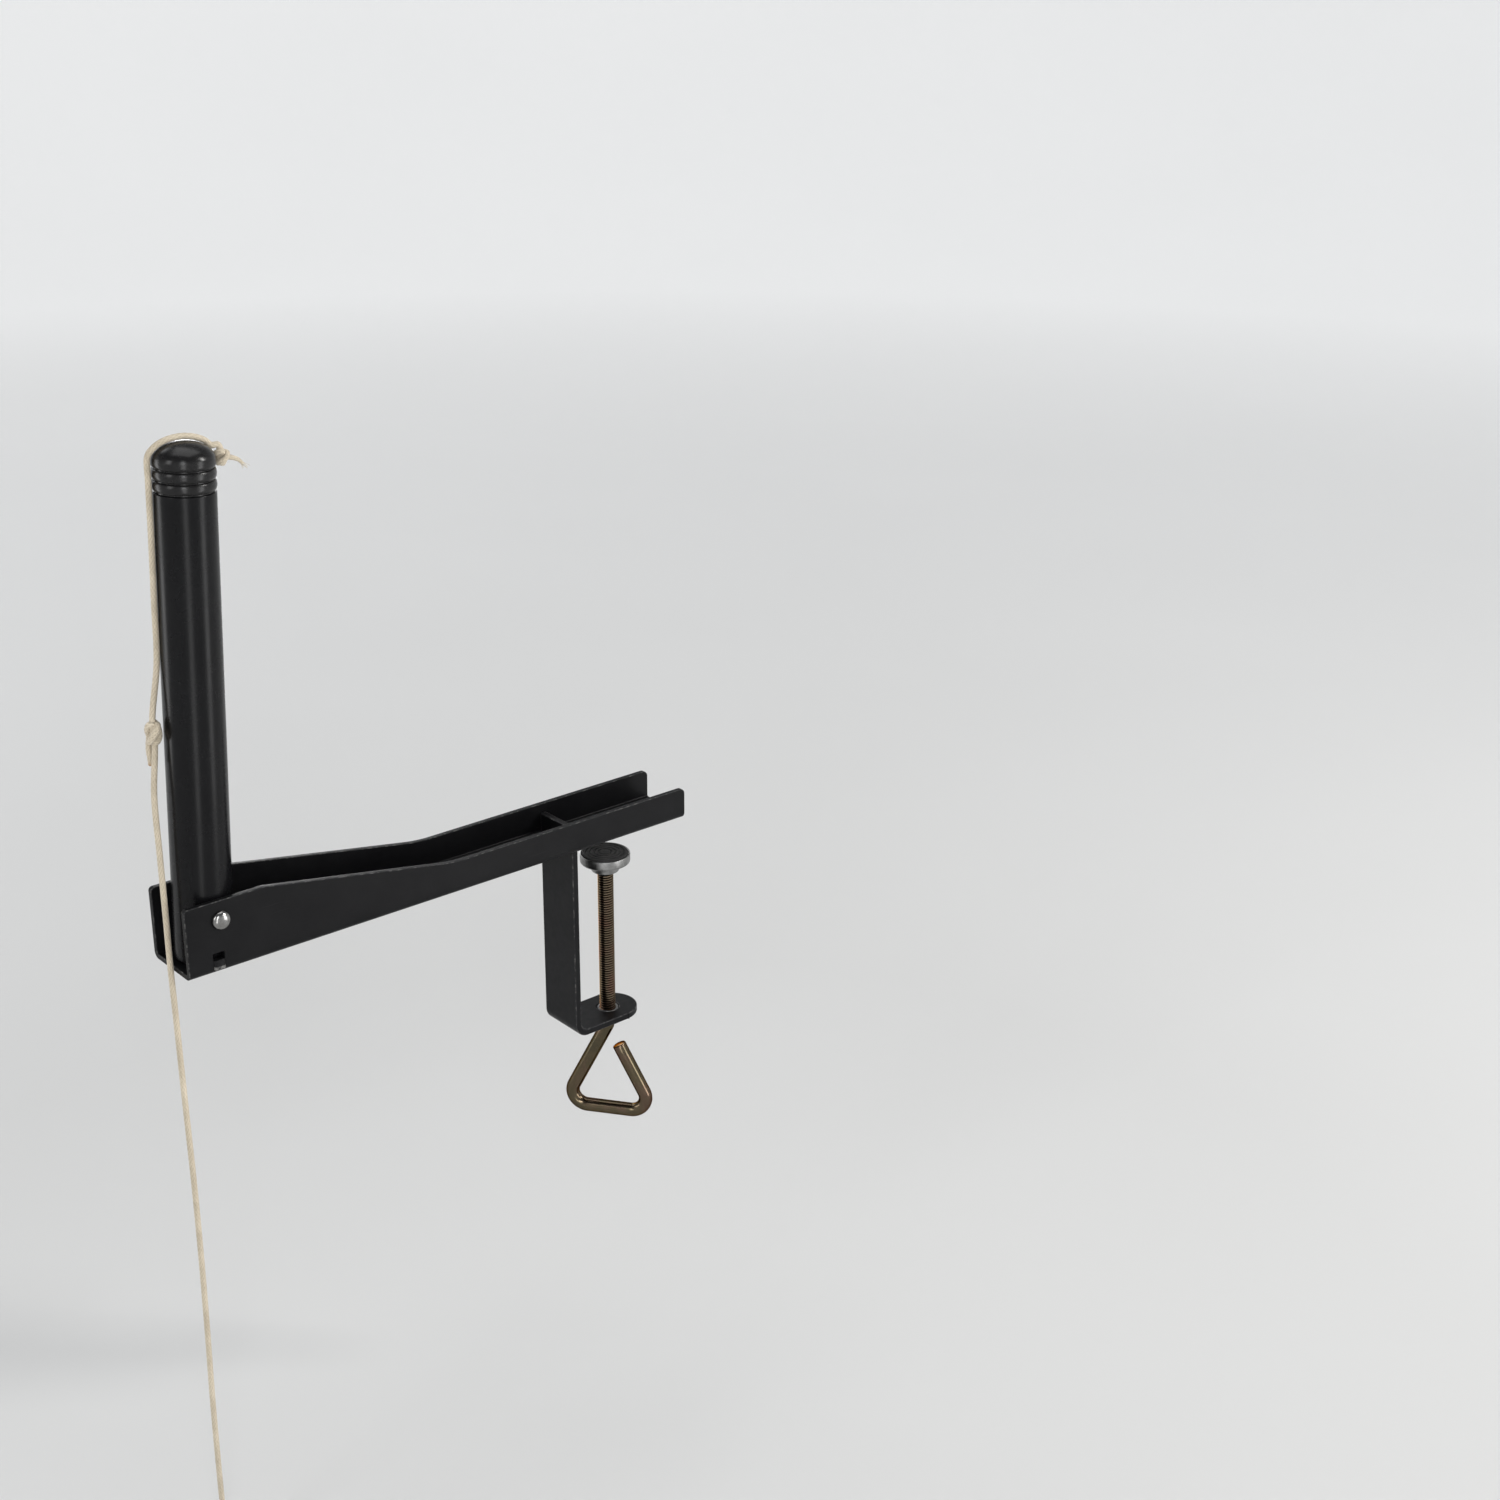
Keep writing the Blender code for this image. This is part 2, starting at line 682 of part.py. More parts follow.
tail_cap = [
    knot_cap_at + Vector((KNOT_CAP_R[0] + GAP, 0.2, -0.6)),
    knot_cap_at + Vector((KNOT_CAP_R[0] + 1.8, 0.3, -1.2)),
    knot_cap_at + Vector((KNOT_CAP_R[0] + 3.2, 0.5, -2.6)),
    knot_cap_at + Vector((KNOT_CAP_R[0] + 3.9, 0.6, -4.4)),
]
tail_mid = [
    knot_mid_at + Vector((-0.9, 2.05, -KNOT_MID_R[2] + 0.3)),
    knot_mid_at + Vector((-1.0, 2.4, -KNOT_MID_R[2] - 2.6)),
    knot_mid_at + Vector((-0.9, 2.3, -KNOT_MID_R[2] - 5.2)),
    knot_mid_at + Vector((-0.7, 2.2, -KNOT_MID_R[2] - 7.6)),
]
cord_tube("cord_tail_cap", smooth_route(tail_cap, 1.2)[0])
cord_tube("cord_tail_mid", smooth_route(tail_mid, 2.0)[0])
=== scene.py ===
"""The looks of the table tennis net clamp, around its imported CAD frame.

Sizes are in millimetres in the helpers and in metres in the meshes, in the part's
own frame: the origin is where the clamp screw's axis meets the arm's underside,
+X runs along the net towards the middle of the table, +Z is up.
"""

import math

import bmesh
import bpy
import numpy as np
from mathutils import Matrix, Vector


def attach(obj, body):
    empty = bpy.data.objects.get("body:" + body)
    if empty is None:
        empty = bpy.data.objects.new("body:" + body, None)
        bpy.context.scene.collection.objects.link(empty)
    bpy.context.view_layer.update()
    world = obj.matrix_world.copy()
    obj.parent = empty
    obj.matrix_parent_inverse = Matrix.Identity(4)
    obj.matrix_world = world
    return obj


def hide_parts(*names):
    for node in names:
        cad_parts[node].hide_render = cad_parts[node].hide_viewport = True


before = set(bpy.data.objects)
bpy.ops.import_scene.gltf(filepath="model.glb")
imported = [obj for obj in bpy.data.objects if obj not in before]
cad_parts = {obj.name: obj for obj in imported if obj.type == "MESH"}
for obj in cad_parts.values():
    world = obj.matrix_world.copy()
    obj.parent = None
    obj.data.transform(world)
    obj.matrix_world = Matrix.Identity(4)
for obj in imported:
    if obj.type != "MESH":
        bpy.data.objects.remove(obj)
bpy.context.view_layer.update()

MM = 0.001
COLL = bpy.context.scene.collection

# ------------------------------------------------------------ dimensions, mm
ARM_OUT_X, ARM_TIP_X, ARM_WIDTH, SHEET, BEND_R = -175.0, 28.6, 24.0, 1.8, 2.4
WALL_TALL, WALL_LOW, SHOULDER_X, KNEE_X = 25.2, 12.2, -146.5, -73.9
LUG_X, LUG_W, LUG_HOLE_Z, LUG_LIP_Z, LUG_PROUD = -164.3, 4.2, (4.7, 7.4), 1.6, 0.8
STRAP_X, STRAP_T, STRAP_W, STRAP_TOP_Z = -22.0, 2.5, 19.2, 9.0
JAW_BOTTOM_Z, JAW_END_X, STRAP_BEND_R, JAW_HOLE_R = -77.0, 11.6, 5.5, 4.3
THREAD_R, THREAD_TOP_Z, THREAD_END_Z, PITCH = 3.0, -17.5, -80.2, 1.0
TIP_R, TIP_TOP_Z, ROD_R = 2.5, -13.9, 2.65
HANDLE_ANGLE, APEX_Z, BAR_Z, HALF_W = -53.4, -82.0, -119.0, 18.3
HANDLE_BEND_R, APEX_BEND_R, HANDLE_END_Z = 6.0, 5.0, -90.6
PIVOT, POST_LEAN, POST_R, POST_WALL = (-162.5, 0.0, 18.4), 2.8, 9.6, 1.2
POST_FOOT, POST_TOP = -16.1, 137.3
RIVET_R, RIVET_HEAD_R, RIVET_HEAD_H, RIVET_HOLE_R = 2.0, 3.3, 2.1, 2.3
BEAD_PITCH, BEAD_R, GROOVE_R, DOME_H = 3.55, 9.75, 9.0, 5.6
CAP_STEM_R, CAP_STEM_L = 8.1, 12.0
GAP = 0.3
CORD_D = 2.0
KNOT_CAP_R, KNOT_MID_R, KNOT_END_R = (2.3, 2.4, 2.9), (2.6, 2.5, 3.6), (2.9, 2.9, 3.6)
DROP_END_Z = -219.0
HALF = ARM_WIDTH / 2
INNER = HALF - SHEET
LEAN = math.radians(POST_LEAN)

# ------------------------------------------------------------ camera
CAM_AT = (-0.45218, -0.59847, 0.33298)
CAM_YAW, CAM_PITCH, CAM_ROLL = 0.7186, 0.3829, -0.0089
cam_data = bpy.data.cameras.new("camera")
cam = bpy.data.objects.new("camera", cam_data)
COLL.objects.link(cam)
look = Vector((math.sin(CAM_YAW) * math.cos(CAM_PITCH),
               math.cos(CAM_YAW) * math.cos(CAM_PITCH), -math.sin(CAM_PITCH)))
level = Vector((math.cos(CAM_YAW), -math.sin(CAM_YAW), 0.0))
down = -level.cross(look)
right = level * math.cos(CAM_ROLL) + down * math.sin(CAM_ROLL)
down = down * math.cos(CAM_ROLL) - level * math.sin(CAM_ROLL)
turn = Matrix((right, -down, -look)).transposed().to_4x4()
cam.matrix_world = Matrix.Translation(Vector(CAM_AT)) @ turn
cam_data.sensor_fit = "HORIZONTAL"
cam_data.sensor_width = 36.0
cam_data.lens = 53.04
cam_data.clip_start = 0.01
cam_data.clip_end = 60.0
bpy.context.scene.camera = cam


# ------------------------------------------------------------ mesh helpers
def link(name, me):
    ob = bpy.data.objects.new(name, me)
    COLL.objects.link(ob)
    return ob


def finish_mesh(name, bm, mats, smooth=35.0, merge=1e-7):
    if merge:
        bmesh.ops.remove_doubles(bm, verts=bm.verts, dist=merge)
    bmesh.ops.dissolve_degenerate(bm, dist=1e-8, edges=bm.edges)
    bmesh.ops.recalc_face_normals(bm, faces=bm.faces)
    me = bpy.data.meshes.new(name)
    bm.to_mesh(me)
    bm.free()
    for m in mats:
        me.materials.append(m)
    me.shade_smooth()
    me.set_sharp_from_angle(angle=math.radians(smooth))
    return link(name, me)


def prism_bm(points, lo, hi, plane):
    put = {
        "xz": lambda a, b, t: Vector((a, t, b)),
        "yz": lambda a, b, t: Vector((t, a, b)),
        "xy": lambda a, b, t: Vector((a, b, t)),
    }[plane]
    bm = bmesh.new()
    base = [bm.verts.new(put(a, b, lo) * MM) for a, b in points]
    face = bm.faces.new(base)
    out = bmesh.ops.extrude_face_region(bm, geom=[face])
    verts = [g for g in out["geom"] if isinstance(g, bmesh.types.BMVert)]
    step = put(0.0, 0.0, hi) - put(0.0, 0.0, lo)
    bmesh.ops.translate(bm, verts=verts, vec=step * MM)
    bmesh.ops.recalc_face_normals(bm, faces=bm.faces)
    return bm


def rounded(points, radii, seg=10):
    out = []
    n = len(points)
    for i, (p, r) in enumerate(zip(points, radii)):
        b = Vector(p)
        if r <= 0.0:
            out.append((b.x, b.y))
            continue
        a, c = Vector(points[i - 1]), Vector(points[(i + 1) % n])
        u, v = (a - b).normalized(), (c - b).normalized()
        half = u.angle(v) / 2.0
        centre = b + (u + v).normalized() * (r / math.sin(half))
        d = r / math.tan(half)
        s, e = b + u * d - centre, b + v * d - centre
        sweep = s.angle_signed(e)
        for k in range(seg + 1):
            q = Matrix.Rotation(-sweep * k / seg, 2) @ s + centre
            out.append((q.x, q.y))
    return out


def lathe_bm(profile, seg):
    bm = bmesh.new()
    on_axis = profile[0][0] < 1e-9 and profile[-1][0] < 1e-9
    rings = []
    for r, z in profile:
        if r < 1e-9:
            rings.append([bm.verts.new(Vector((0, 0, z)) * MM)])
        else:
            rings.append([
                bm.verts.new(Vector((r * math.cos(2 * math.pi * k / seg),
                                     r * math.sin(2 * math.pi * k / seg), z)) * MM)
                for k in range(seg)])
    pairs = list(zip(rings[:-1], rings[1:]))
    if not on_axis:
        pairs.append((rings[-1], rings[0]))
    for a, b in pairs:
        for k in range(seg):
            j = (k + 1) % seg
            if len(a) == 1:
                bm.faces.new((a[0], b[k], b[j]))
            elif len(b) == 1:
                bm.faces.new((a[k], b[0], a[j]))
            else:
                bm.faces.new((a[k], b[k], b[j], a[j]))
    return bm


def plain(name, bm):
    me = bpy.data.meshes.new(name)
    bm.to_mesh(me)
    bm.free()
    return link(name, me)


def settle(ob):
    """Applies the object's modifiers to its mesh."""
    dg = bpy.context.evaluated_depsgraph_get()
    me = bpy.data.meshes.new_from_object(ob.evaluated_get(dg))
    old = ob.data
    ob.modifiers.clear()
    ob.data = me
    bpy.data.meshes.remove(old)
    return ob


def in_order(ob):
    """Numbers the mesh's vertices and faces by their places, so that every run of
    the steps that follow gives the same mesh."""
    old = ob.data
    key = [tuple(round(c, 8) for c in v.co) for v in old.vertices]
    order = sorted(range(len(key)), key=key.__getitem__)
    rank = {v: i for i, v in enumerate(order)}
    faces = []
    for p in old.polygons:
        ids = [rank[v] for v in p.vertices]
        k = ids.index(min(ids))
        faces.append((tuple(ids[k:] + ids[:k]), p.material_index))
    faces.sort()
    me = bpy.data.meshes.new(ob.name)
    me.from_pydata([tuple(old.vertices[i].co) for i in order], [], [f for f, _ in faces])
    for m in old.materials:
        me.materials.append(m)
    for p, (_, slot) in zip(me.polygons, faces):
        p.material_index = slot
    ob.data = me
    bpy.data.meshes.remove(old)
    return ob


def cut(ob, steps):
    """Boolean steps with throwaway cutters, applied one after another."""
    for cutter, operation in steps:
        mod = ob.modifiers.new("cut", "BOOLEAN")
        mod.operation = operation
        mod.solver = "EXACT"
        mod.object = cutter
        in_order(settle(ob))
        old = cutter.data
        bpy.data.objects.remove(cutter, do_unlink=True)
        bpy.data.meshes.remove(old)
    return ob


def soften(ob, mat, width, segments=3, limit=38.0, after=()):
    """Rounds every hard edge, then makes the holes, keeps flat faces flat, and marks
    the rounded strips with the corner attribute edge."""
    bm = bmesh.new()
    bm.from_mesh(ob.data)
    bmesh.ops.remove_doubles(bm, verts=bm.verts, dist=2e-6)
    bmesh.ops.dissolve_limit(bm, angle_limit=math.radians(1.0), verts=bm.verts,
                             edges=bm.edges, use_dissolve_boundaries=False)
    bmesh.ops.recalc_face_normals(bm, faces=bm.faces)
    bm.to_mesh(ob.data)
    bm.free()
    ob.data.materials.clear()
    ob.data.materials.append(mat)
    ob.data.materials.append(mat)
    for p in ob.data.polygons:
        p.material_index = 0
    mod = ob.modifiers.new("round", "BEVEL")
    mod.width = width * MM
    mod.segments = segments
    mod.limit_method = "ANGLE"
    mod.angle_limit = math.radians(limit)
    mod.use_clamp_overlap = False
    mod.miter_outer = "MITER_ARC"
    mod.material = 1
    in_order(settle(ob))
    cut(ob, after)
    me = ob.data
    edge = me.attributes.new("edge", "FLOAT", "CORNER")
    vals = np.zeros(len(me.loops), np.float32)
    for p in me.polygons:
        if p.material_index == 1:
            vals[p.loop_start:p.loop_start + p.loop_total] = 1.0
    edge.data.foreach_set("value", vals)
    for p in me.polygons:
        p.material_index = 0
    me.materials.clear()
    me.materials.append(mat)
    me.shade_smooth()
    me.set_sharp_from_angle(angle=math.radians(50))
    mod = ob.modifiers.new("normals", "WEIGHTED_NORMAL")
    mod.keep_sharp = True
    mod.weight = 60
    settle(ob)
    return ob


# ------------------------------------------------------------ node helpers
class Nodes:
    """A small builder for one material's nodes."""

    def __init__(self, name):
        self.m = bpy.data.materials.new(name)
        self.m.use_nodes = True
        self.t = self.m.node_tree
        self.s = self.t.nodes.get("Principled BSDF")
        self.xyz = self.t.nodes.new("ShaderNodeTexCoord").outputs["Object"]

    def set(self, **values):
        for k, v in values.items():
            self.s.inputs[k.replace("_", " ")].default_value = v

    def into(self, socket, out):
        self.t.links.new(out, self.s.inputs[socket])

    def scaled(self, sx, sy, sz):
        n = self.t.nodes.new("ShaderNodeMapping")
        n.inputs["Scale"].default_value = (sx, sy, sz)
        self.t.links.new(self.xyz, n.inputs["Vector"])
        return n.outputs["Vector"]

    def noise(self, scale, detail=3.0, rough=0.55, vec=None, distortion=0.0):
        n = self.t.nodes.new("ShaderNodeTexNoise")
        n.inputs["Scale"].default_value = scale
        n.inputs["Detail"].default_value = detail
        n.inputs["Roughness"].default_value = rough
        n.inputs["Distortion"].default_value = distortion
        self.t.links.new(vec or self.xyz, n.inputs["Vector"])
        return n.outputs["Fac"]

    def voronoi(self, scale, feature="F1", out="Distance", vec=None):
        n = self.t.nodes.new("ShaderNodeTexVoronoi")
        n.feature = feature
        n.inputs["Scale"].default_value = scale
        self.t.links.new(vec or self.xyz, n.inputs["Vector"])
        return n.outputs[out]

    def attr(self, name):
        n = self.t.nodes.new("ShaderNodeAttribute")
        n.attribute_name = name
        return n.outputs["Fac"]

    def ramp(self, out, stops, mode="LINEAR"):
        n = self.t.nodes.new("ShaderNodeValToRGB")
        n.color_ramp.interpolation = mode
        e = n.color_ramp.elements
        while len(e) < len(stops):
            e.new(0.5)
        for el, (pos, c) in zip(e, stops):
            el.position = pos
            el.color = (c, c, c, 1.0) if isinstance(c, float) else (*c, 1.0)
        self.t.links.new(out, n.inputs["Fac"])
        return n.outputs["Color"]

    def range(self, out, a, b, lo, hi):
        n = self.t.nodes.new("ShaderNodeMapRange")
        n.inputs["From Min"].default_value = a
        n.inputs["From Max"].default_value = b
        n.inputs["To Min"].default_value = lo
        n.inputs["To Max"].default_value = hi
        self.t.links.new(out, n.inputs["Value"])
        return n.outputs["Result"]

    def math(self, op, a, b=None, c=None):
        n = self.t.nodes.new("ShaderNodeMath")
        n.operation = op
        for i, v in enumerate((a, b, c)):
            if v is None:
                continue
            if isinstance(v, (int, float)):
                n.inputs[i].default_value = v
            else:
                self.t.links.new(v, n.inputs[i])
        return n.outputs[0]

    def mix(self, fac, a, b, kind="MIX"):
        n = self.t.nodes.new("ShaderNodeMix")
        n.data_type = "RGBA"
        n.blend_type = kind
        n.clamp_factor = True
        if isinstance(fac, (int, float)):
            n.inputs[0].default_value = fac
        else:
            self.t.links.new(fac, n.inputs[0])
        for i, v in ((6, a), (7, b)):
            if isinstance(v, tuple):
                n.inputs[i].default_value = (*v, 1.0)
            else:
                self.t.links.new(v, n.inputs[i])
        return n.outputs[2]

    def bump(self, height, strength, distance_mm, after=None):
        n = self.t.nodes.new("ShaderNodeBump")
        n.inputs["Strength"].default_value = strength
        n.inputs["Distance"].default_value = distance_mm * MM
        self.t.links.new(height, n.inputs["Height"])
        if after is not None:
            self.t.links.new(after, n.inputs["Normal"])
        return n.outputs["Normal"]


def powder_coat(name, worn=True):
    """Satin black powder coat: fine orange peel, thin paler paint on the edges."""
    n = Nodes(name)
    cloud = n.noise(70.0, 3.0)
    base = n.ramp(cloud, [(0.3, (0.0032, 0.0032, 0.0037)), (0.7, (0.0056, 0.0056, 0.0062))])
    rough = n.range(n.noise(420.0, 2.0), 0.3, 0.7, 0.36, 0.47)
    if worn:
        chips = n.range(n.noise(520.0, 4.0, 0.65), 0.50, 0.62, 0.0, 1.0)
        thin = n.math("MULTIPLY", n.attr("edge"), n.range(n.noise(45.0, 2.0), 0.35, 0.65, 0.25, 0.85))
        base = n.mix(thin, base, (0.024, 0.024, 0.0255))
        chip = n.math("MULTIPLY", n.math("MULTIPLY", n.attr("edge"), chips), 0.5)
        base = n.mix(chip, base, (0.13, 0.128, 0.122))
    rub = n.noise(1.0, 3.0, 0.6, n.scaled(60.0, 900.0, 1400.0))
    rub = n.range(rub, 0.66, 0.72, 0.0, 0.35)
    base = n.mix(rub, base, (0.014, 0.014, 0.0148))
    n.into("Base Color", base)
    n.into("Roughness", rough)
    peel = n.bump(n.noise(760.0, 2.0, 0.5), 0.22, 0.05)
    grain = n.bump(n.noise(5200.0, 2.0, 0.6), 0.20, 0.012, peel)
    n.into("Normal", grain)
    n.set(Specular_IOR_Level=0.11)
    return n.m


def gloss_paint(name):
    """Gloss black stoved paint over drawn tube."""
    n = Nodes(name)
    base = n.ramp(n.noise(40.0, 3.0), [(0.3, (0.0028, 0.0028, 0.0033)), (0.7, (0.0046, 0.0046, 0.0052))])
    scuff = n.noise(1.0, 4.0, 0.62, n.scaled(520.0, 520.0, 26.0))
    scuffs = n.range(scuff, 0.66, 0.78, 0.0, 0.35)
    base = n.mix(scuffs, base, (0.010, 0.010, 0.0107))
    n.into("Base Color", base)
    cloud = n.noise(110.0, 3.0)
    rough = n.math("ADD", n.range(cloud, 0.3, 0.7, 0.24, 0.29), n.math("MULTIPLY", scuffs, 0.18))
    n.into("Roughness", rough)
    n.into("Normal", n.bump(n.noise(430.0, 2.0, 0.45), 0.10, 0.02))
    n.set(Specular_IOR_Level=0.15)
    return n.m


def cap_plastic(name):
    """Injection-moulded black plastic with a fine spark texture."""
    n = Nodes(name)
    base = n.ramp(n.noise(90.0, 3.0), [(0.3, (0.0045, 0.0043, 0.0044)), (0.7, (0.0075, 0.0071, 0.0073))])
    scuff = n.range(n.noise(1.0, 5.0, 0.7, n.scaled(260.0, 900.0, 260.0)), 0.63, 0.72, 0.0, 0.5)
    n.into("Base Color", n.mix(scuff, base, (0.020, 0.0193, 0.0193)))
    n.into("Roughness", n.math("ADD", n.range(n.noise(600.0, 2.0), 0.3, 0.7, 0.21, 0.29), n.math("MULTIPLY", scuff, 0.2)))
    n.into("Normal", n.bump(n.noise(2600.0, 3.0, 0.6), 0.25, 0.012))
    n.set(Specular_IOR_Level=0.28)
    return n.m


def rivet_steel(name):
    n = Nodes(name)
    n.into("Base Color", n.ramp(n.noise(900.0, 4.0), [(0.3, (0.20, 0.197, 0.190)), (0.7, (0.30, 0.296, 0.288))]))
    n.into("Roughness", n.range(n.noise(700.0, 3.0), 0.3, 0.7, 0.14, 0.22))
    n.into("Normal", n.bump(n.noise(1600.0, 2.0), 0.10, 0.012))
    n.set(Metallic=1.0)
    return n.m


def yellow_zinc(name):
    """Yellow-passivated zinc plate, with its patchy straw, green and red tints."""
    n = Nodes(name)
    tint = n.noise(75.0, 4.0, 0.6, None, 0.8)
    base = n.ramp(tint, [(0.30, (0.074, 0.066, 0.044)), (0.46, (0.112, 0.090, 0.056)),
                         (0.57, (0.130, 0.092, 0.064)), (0.72, (0.106, 0.062, 0.050))])
    dull = n.range(n.noise(190.0, 3.0, 0.55), 0.45, 0.75, 0.0, 0.25)
    base = n.mix(dull, base, (0.066, 0.057, 0.041))
    base = n.mix(n.math("MULTIPLY", n.attr("thread"), 0.7), base, (0.40, 0.315, 0.222))
    blush = n.math("MULTIPLY", n.attr("thread"), n.range(n.noise(110.0, 2.0, 0.5), 0.48, 0.62, 0.0, 0.55))
    base = n.mix(blush, base, (0.35, 0.195, 0.148))
    # the thread's roots are darkened almost to black: painted shade in the hollows of the thread
    base = n.mix(n.attr("root_shade"), base, (0.012, 0.009, 0.006))
    n.into("Base Color", base)
    rough = n.math("ADD", n.range(n.noise(260.0, 3.0), 0.3, 0.7, 0.15, 0.22), n.math("MULTIPLY", n.attr("root_shade"), 0.25))
    n.into("Roughness", rough)
    n.into("Normal", n.bump(n.noise(1900.0, 2.0, 0.5), 0.10, 0.008))
    # the dark specular tint darkens the rod's grazing reflections: painted shade along its outlines, standing in for
    # reflections of dark surroundings
    n.set(Metallic=1.0, Specular_Tint=(0.30, 0.25, 0.20, 1.0))
    return n.m


def zinc_steel(name):
    n = Nodes(name)
    cell = n.voronoi(520.0, "F1", "Color")
    spangle = n.t.nodes.new("ShaderNodeRGBToBW")
    n.t.links.new(cell, spangle.inputs[0])
    tone = n.math("ADD", n.math("MULTIPLY", spangle.outputs[0], 0.35), n.math("MULTIPLY", n.noise(150.0, 4.0), 0.65))
    n.into("Base Color", n.ramp(tone, [(0.25, (0.17, 0.17, 0.168)), (0.75, (0.31, 0.31, 0.305))]))
    n.into("Roughness", n.range(tone, 0.2, 0.8, 0.30, 0.46))
    n.into("Normal", n.bump(n.noise(1400.0, 3.0), 0.2, 0.015))
    n.set(Metallic=1.0)
    return n.m


def rubber(name):
    n = Nodes(name)
    n.into("Base Color", n.ramp(n.noise(240.0, 4.0), [(0.3, (0.014, 0.014, 0.014)), (0.7, (0.027, 0.026, 0.025))]))
    n.into("Roughness", n.range(n.noise(900.0, 3.0), 0.3, 0.7, 0.72, 0.9))
    n.into("Normal", n.bump(n.noise(3200.0, 3.0, 0.7), 0.45, 0.03))
    n.set(Specular_IOR_Level=0.35)
    return n.m


def cord_fibre(name):
    """Off-white braided polyester cord, with painted shade greying the hollows between its yarns."""
    n = Nodes(name)
    hue = n.noise(160.0, 4.0, 0.6)
    base = n.ramp(hue, [(0.30, (0.42, 0.360, 0.270)), (0.55, (0.53, 0.462, 0.352)), (0.75, (0.60, 0.530, 0.418))])
    yarn = n.noise(1.0, 2.0, 0.5, n.scaled(9000.0, 9000.0, 2600.0))
    base = n.mix(n.range(yarn, 0.35, 0.65, 0.0, 0.22), base, (0.46, 0.40, 0.31))
    # the hollows between the yarns are darkened: painted shade
    hollow_shade = n.math("MULTIPLY", n.attr("hollow_shade"), 0.75)
    base = n.mix(hollow_shade, base, (0.20, 0.165, 0.12))
    melted = n.attr("melt")
    base = n.mix(melted, base, (0.30, 0.19, 0.10))
    n.into("Base Color", base)
    n.into("Roughness", n.math("SUBTRACT", 0.82, n.math("MULTIPLY", melted, 0.45)))
    n.into("Normal", n.bump(yarn, 0.35, 0.05))
    n.set(Sheen_Weight=0.25, Sheen_Roughness=0.5, Specular_IOR_Level=0.3)
    return n.m


M_POWDER = powder_coat("black_powder_coat")
M_GLOSS = gloss_paint("black_gloss_paint")
M_PLASTIC = cap_plastic("black_plastic")
M_RIVET = rivet_steel("bright_steel")
M_ZINC = yellow_zinc("yellow_zinc")
M_STEEL = zinc_steel("zinc_steel")
M_RUBBER = rubber("black_rubber")
M_CORD = cord_fibre("cream_cord")


def box_bm(lo, hi):
    pts = [(lo[0], lo[1]), (hi[0], lo[1]), (hi[0], hi[1]), (lo[0], hi[1])]
    return prism_bm(pts, lo[2], hi[2], "xy")


def across_y(bm):
    bmesh.ops.rotate(bm, verts=bm.verts, matrix=Matrix.Rotation(math.radians(-90), 3, "X"))
    return bm


def moved(bm, at):
    bmesh.ops.translate(bm, verts=bm.verts, vec=Vector(at) * MM)
    return bm


def leaned(bm):
    """From the post's own frame into the part's frame."""
    m = Matrix.Translation(Vector(PIVOT) * MM) @ Matrix.Rotation(LEAN, 4, "Y")
    bmesh.ops.transform(bm, matrix=m, verts=bm.verts)
    return bm


# ------------------------------------------------------------ arm channel
top = WALL_TALL + 6
u_points = [(-HALF, top), (-HALF, 0.0), (HALF, 0.0), (HALF, top),
            (INNER, top), (INNER, SHEET), (-INNER, SHEET), (-INNER, top)]
u_radii = [0, BEND_R, BEND_R, 0, 0, BEND_R - SHEET, BEND_R - SHEET, 0]
arm = plain("arm_shell", prism_bm(rounded(u_points, u_radii, 10), ARM_OUT_X - 3, ARM_TIP_X + 3, "yz"))
side_points = [(ARM_OUT_X, -3.0), (ARM_OUT_X, WALL_TALL), (SHOULDER_X, WALL_TALL),
               (KNEE_X, WALL_LOW), (ARM_TIP_X, WALL_LOW), (ARM_TIP_X, -3.0)]
cut(arm, [(plain("c", prism_bm(rounded(side_points, [0, 1.4, 10.0, 60.0, 2.2, 0], 12), -HALF - 4, HALF + 4, "xz")), "INTERSECT")])
holes = [(plain("c", box_bm((STRAP_X - 0.12, -STRAP_W / 2 - 0.12, -2.0),
                            (STRAP_X + STRAP_T + 0.12, STRAP_W / 2 + 0.12, SHEET + 2.0))), "DIFFERENCE"),
         (plain("c", moved(across_y(lathe_bm([(0, 20), (RIVET_HOLE_R, 20), (RIVET_HOLE_R, -20), (0, -20)], 32)), PIVOT)), "DIFFERENCE")]
for sgn in (-1, 1):
    win = rounded([(LUG_X - LUG_W / 2, LUG_HOLE_Z[0]), (LUG_X + LUG_W / 2, LUG_HOLE_Z[0]),
                   (LUG_X + LUG_W / 2, LUG_HOLE_Z[1]), (LUG_X - LUG_W / 2, LUG_HOLE_Z[1])], [0, 0, 0.5, 0.5], 5)
    holes.append((plain("c", prism_bm(win, min(sgn * (INNER - 1.0), sgn * (HALF + 2.0)),
                                      max(sgn * (INNER - 1.0), sgn * (HALF + 2.0)), "xz")), "DIFFERENCE"))
soften(arm, M_POWDER, 0.28, after=holes)


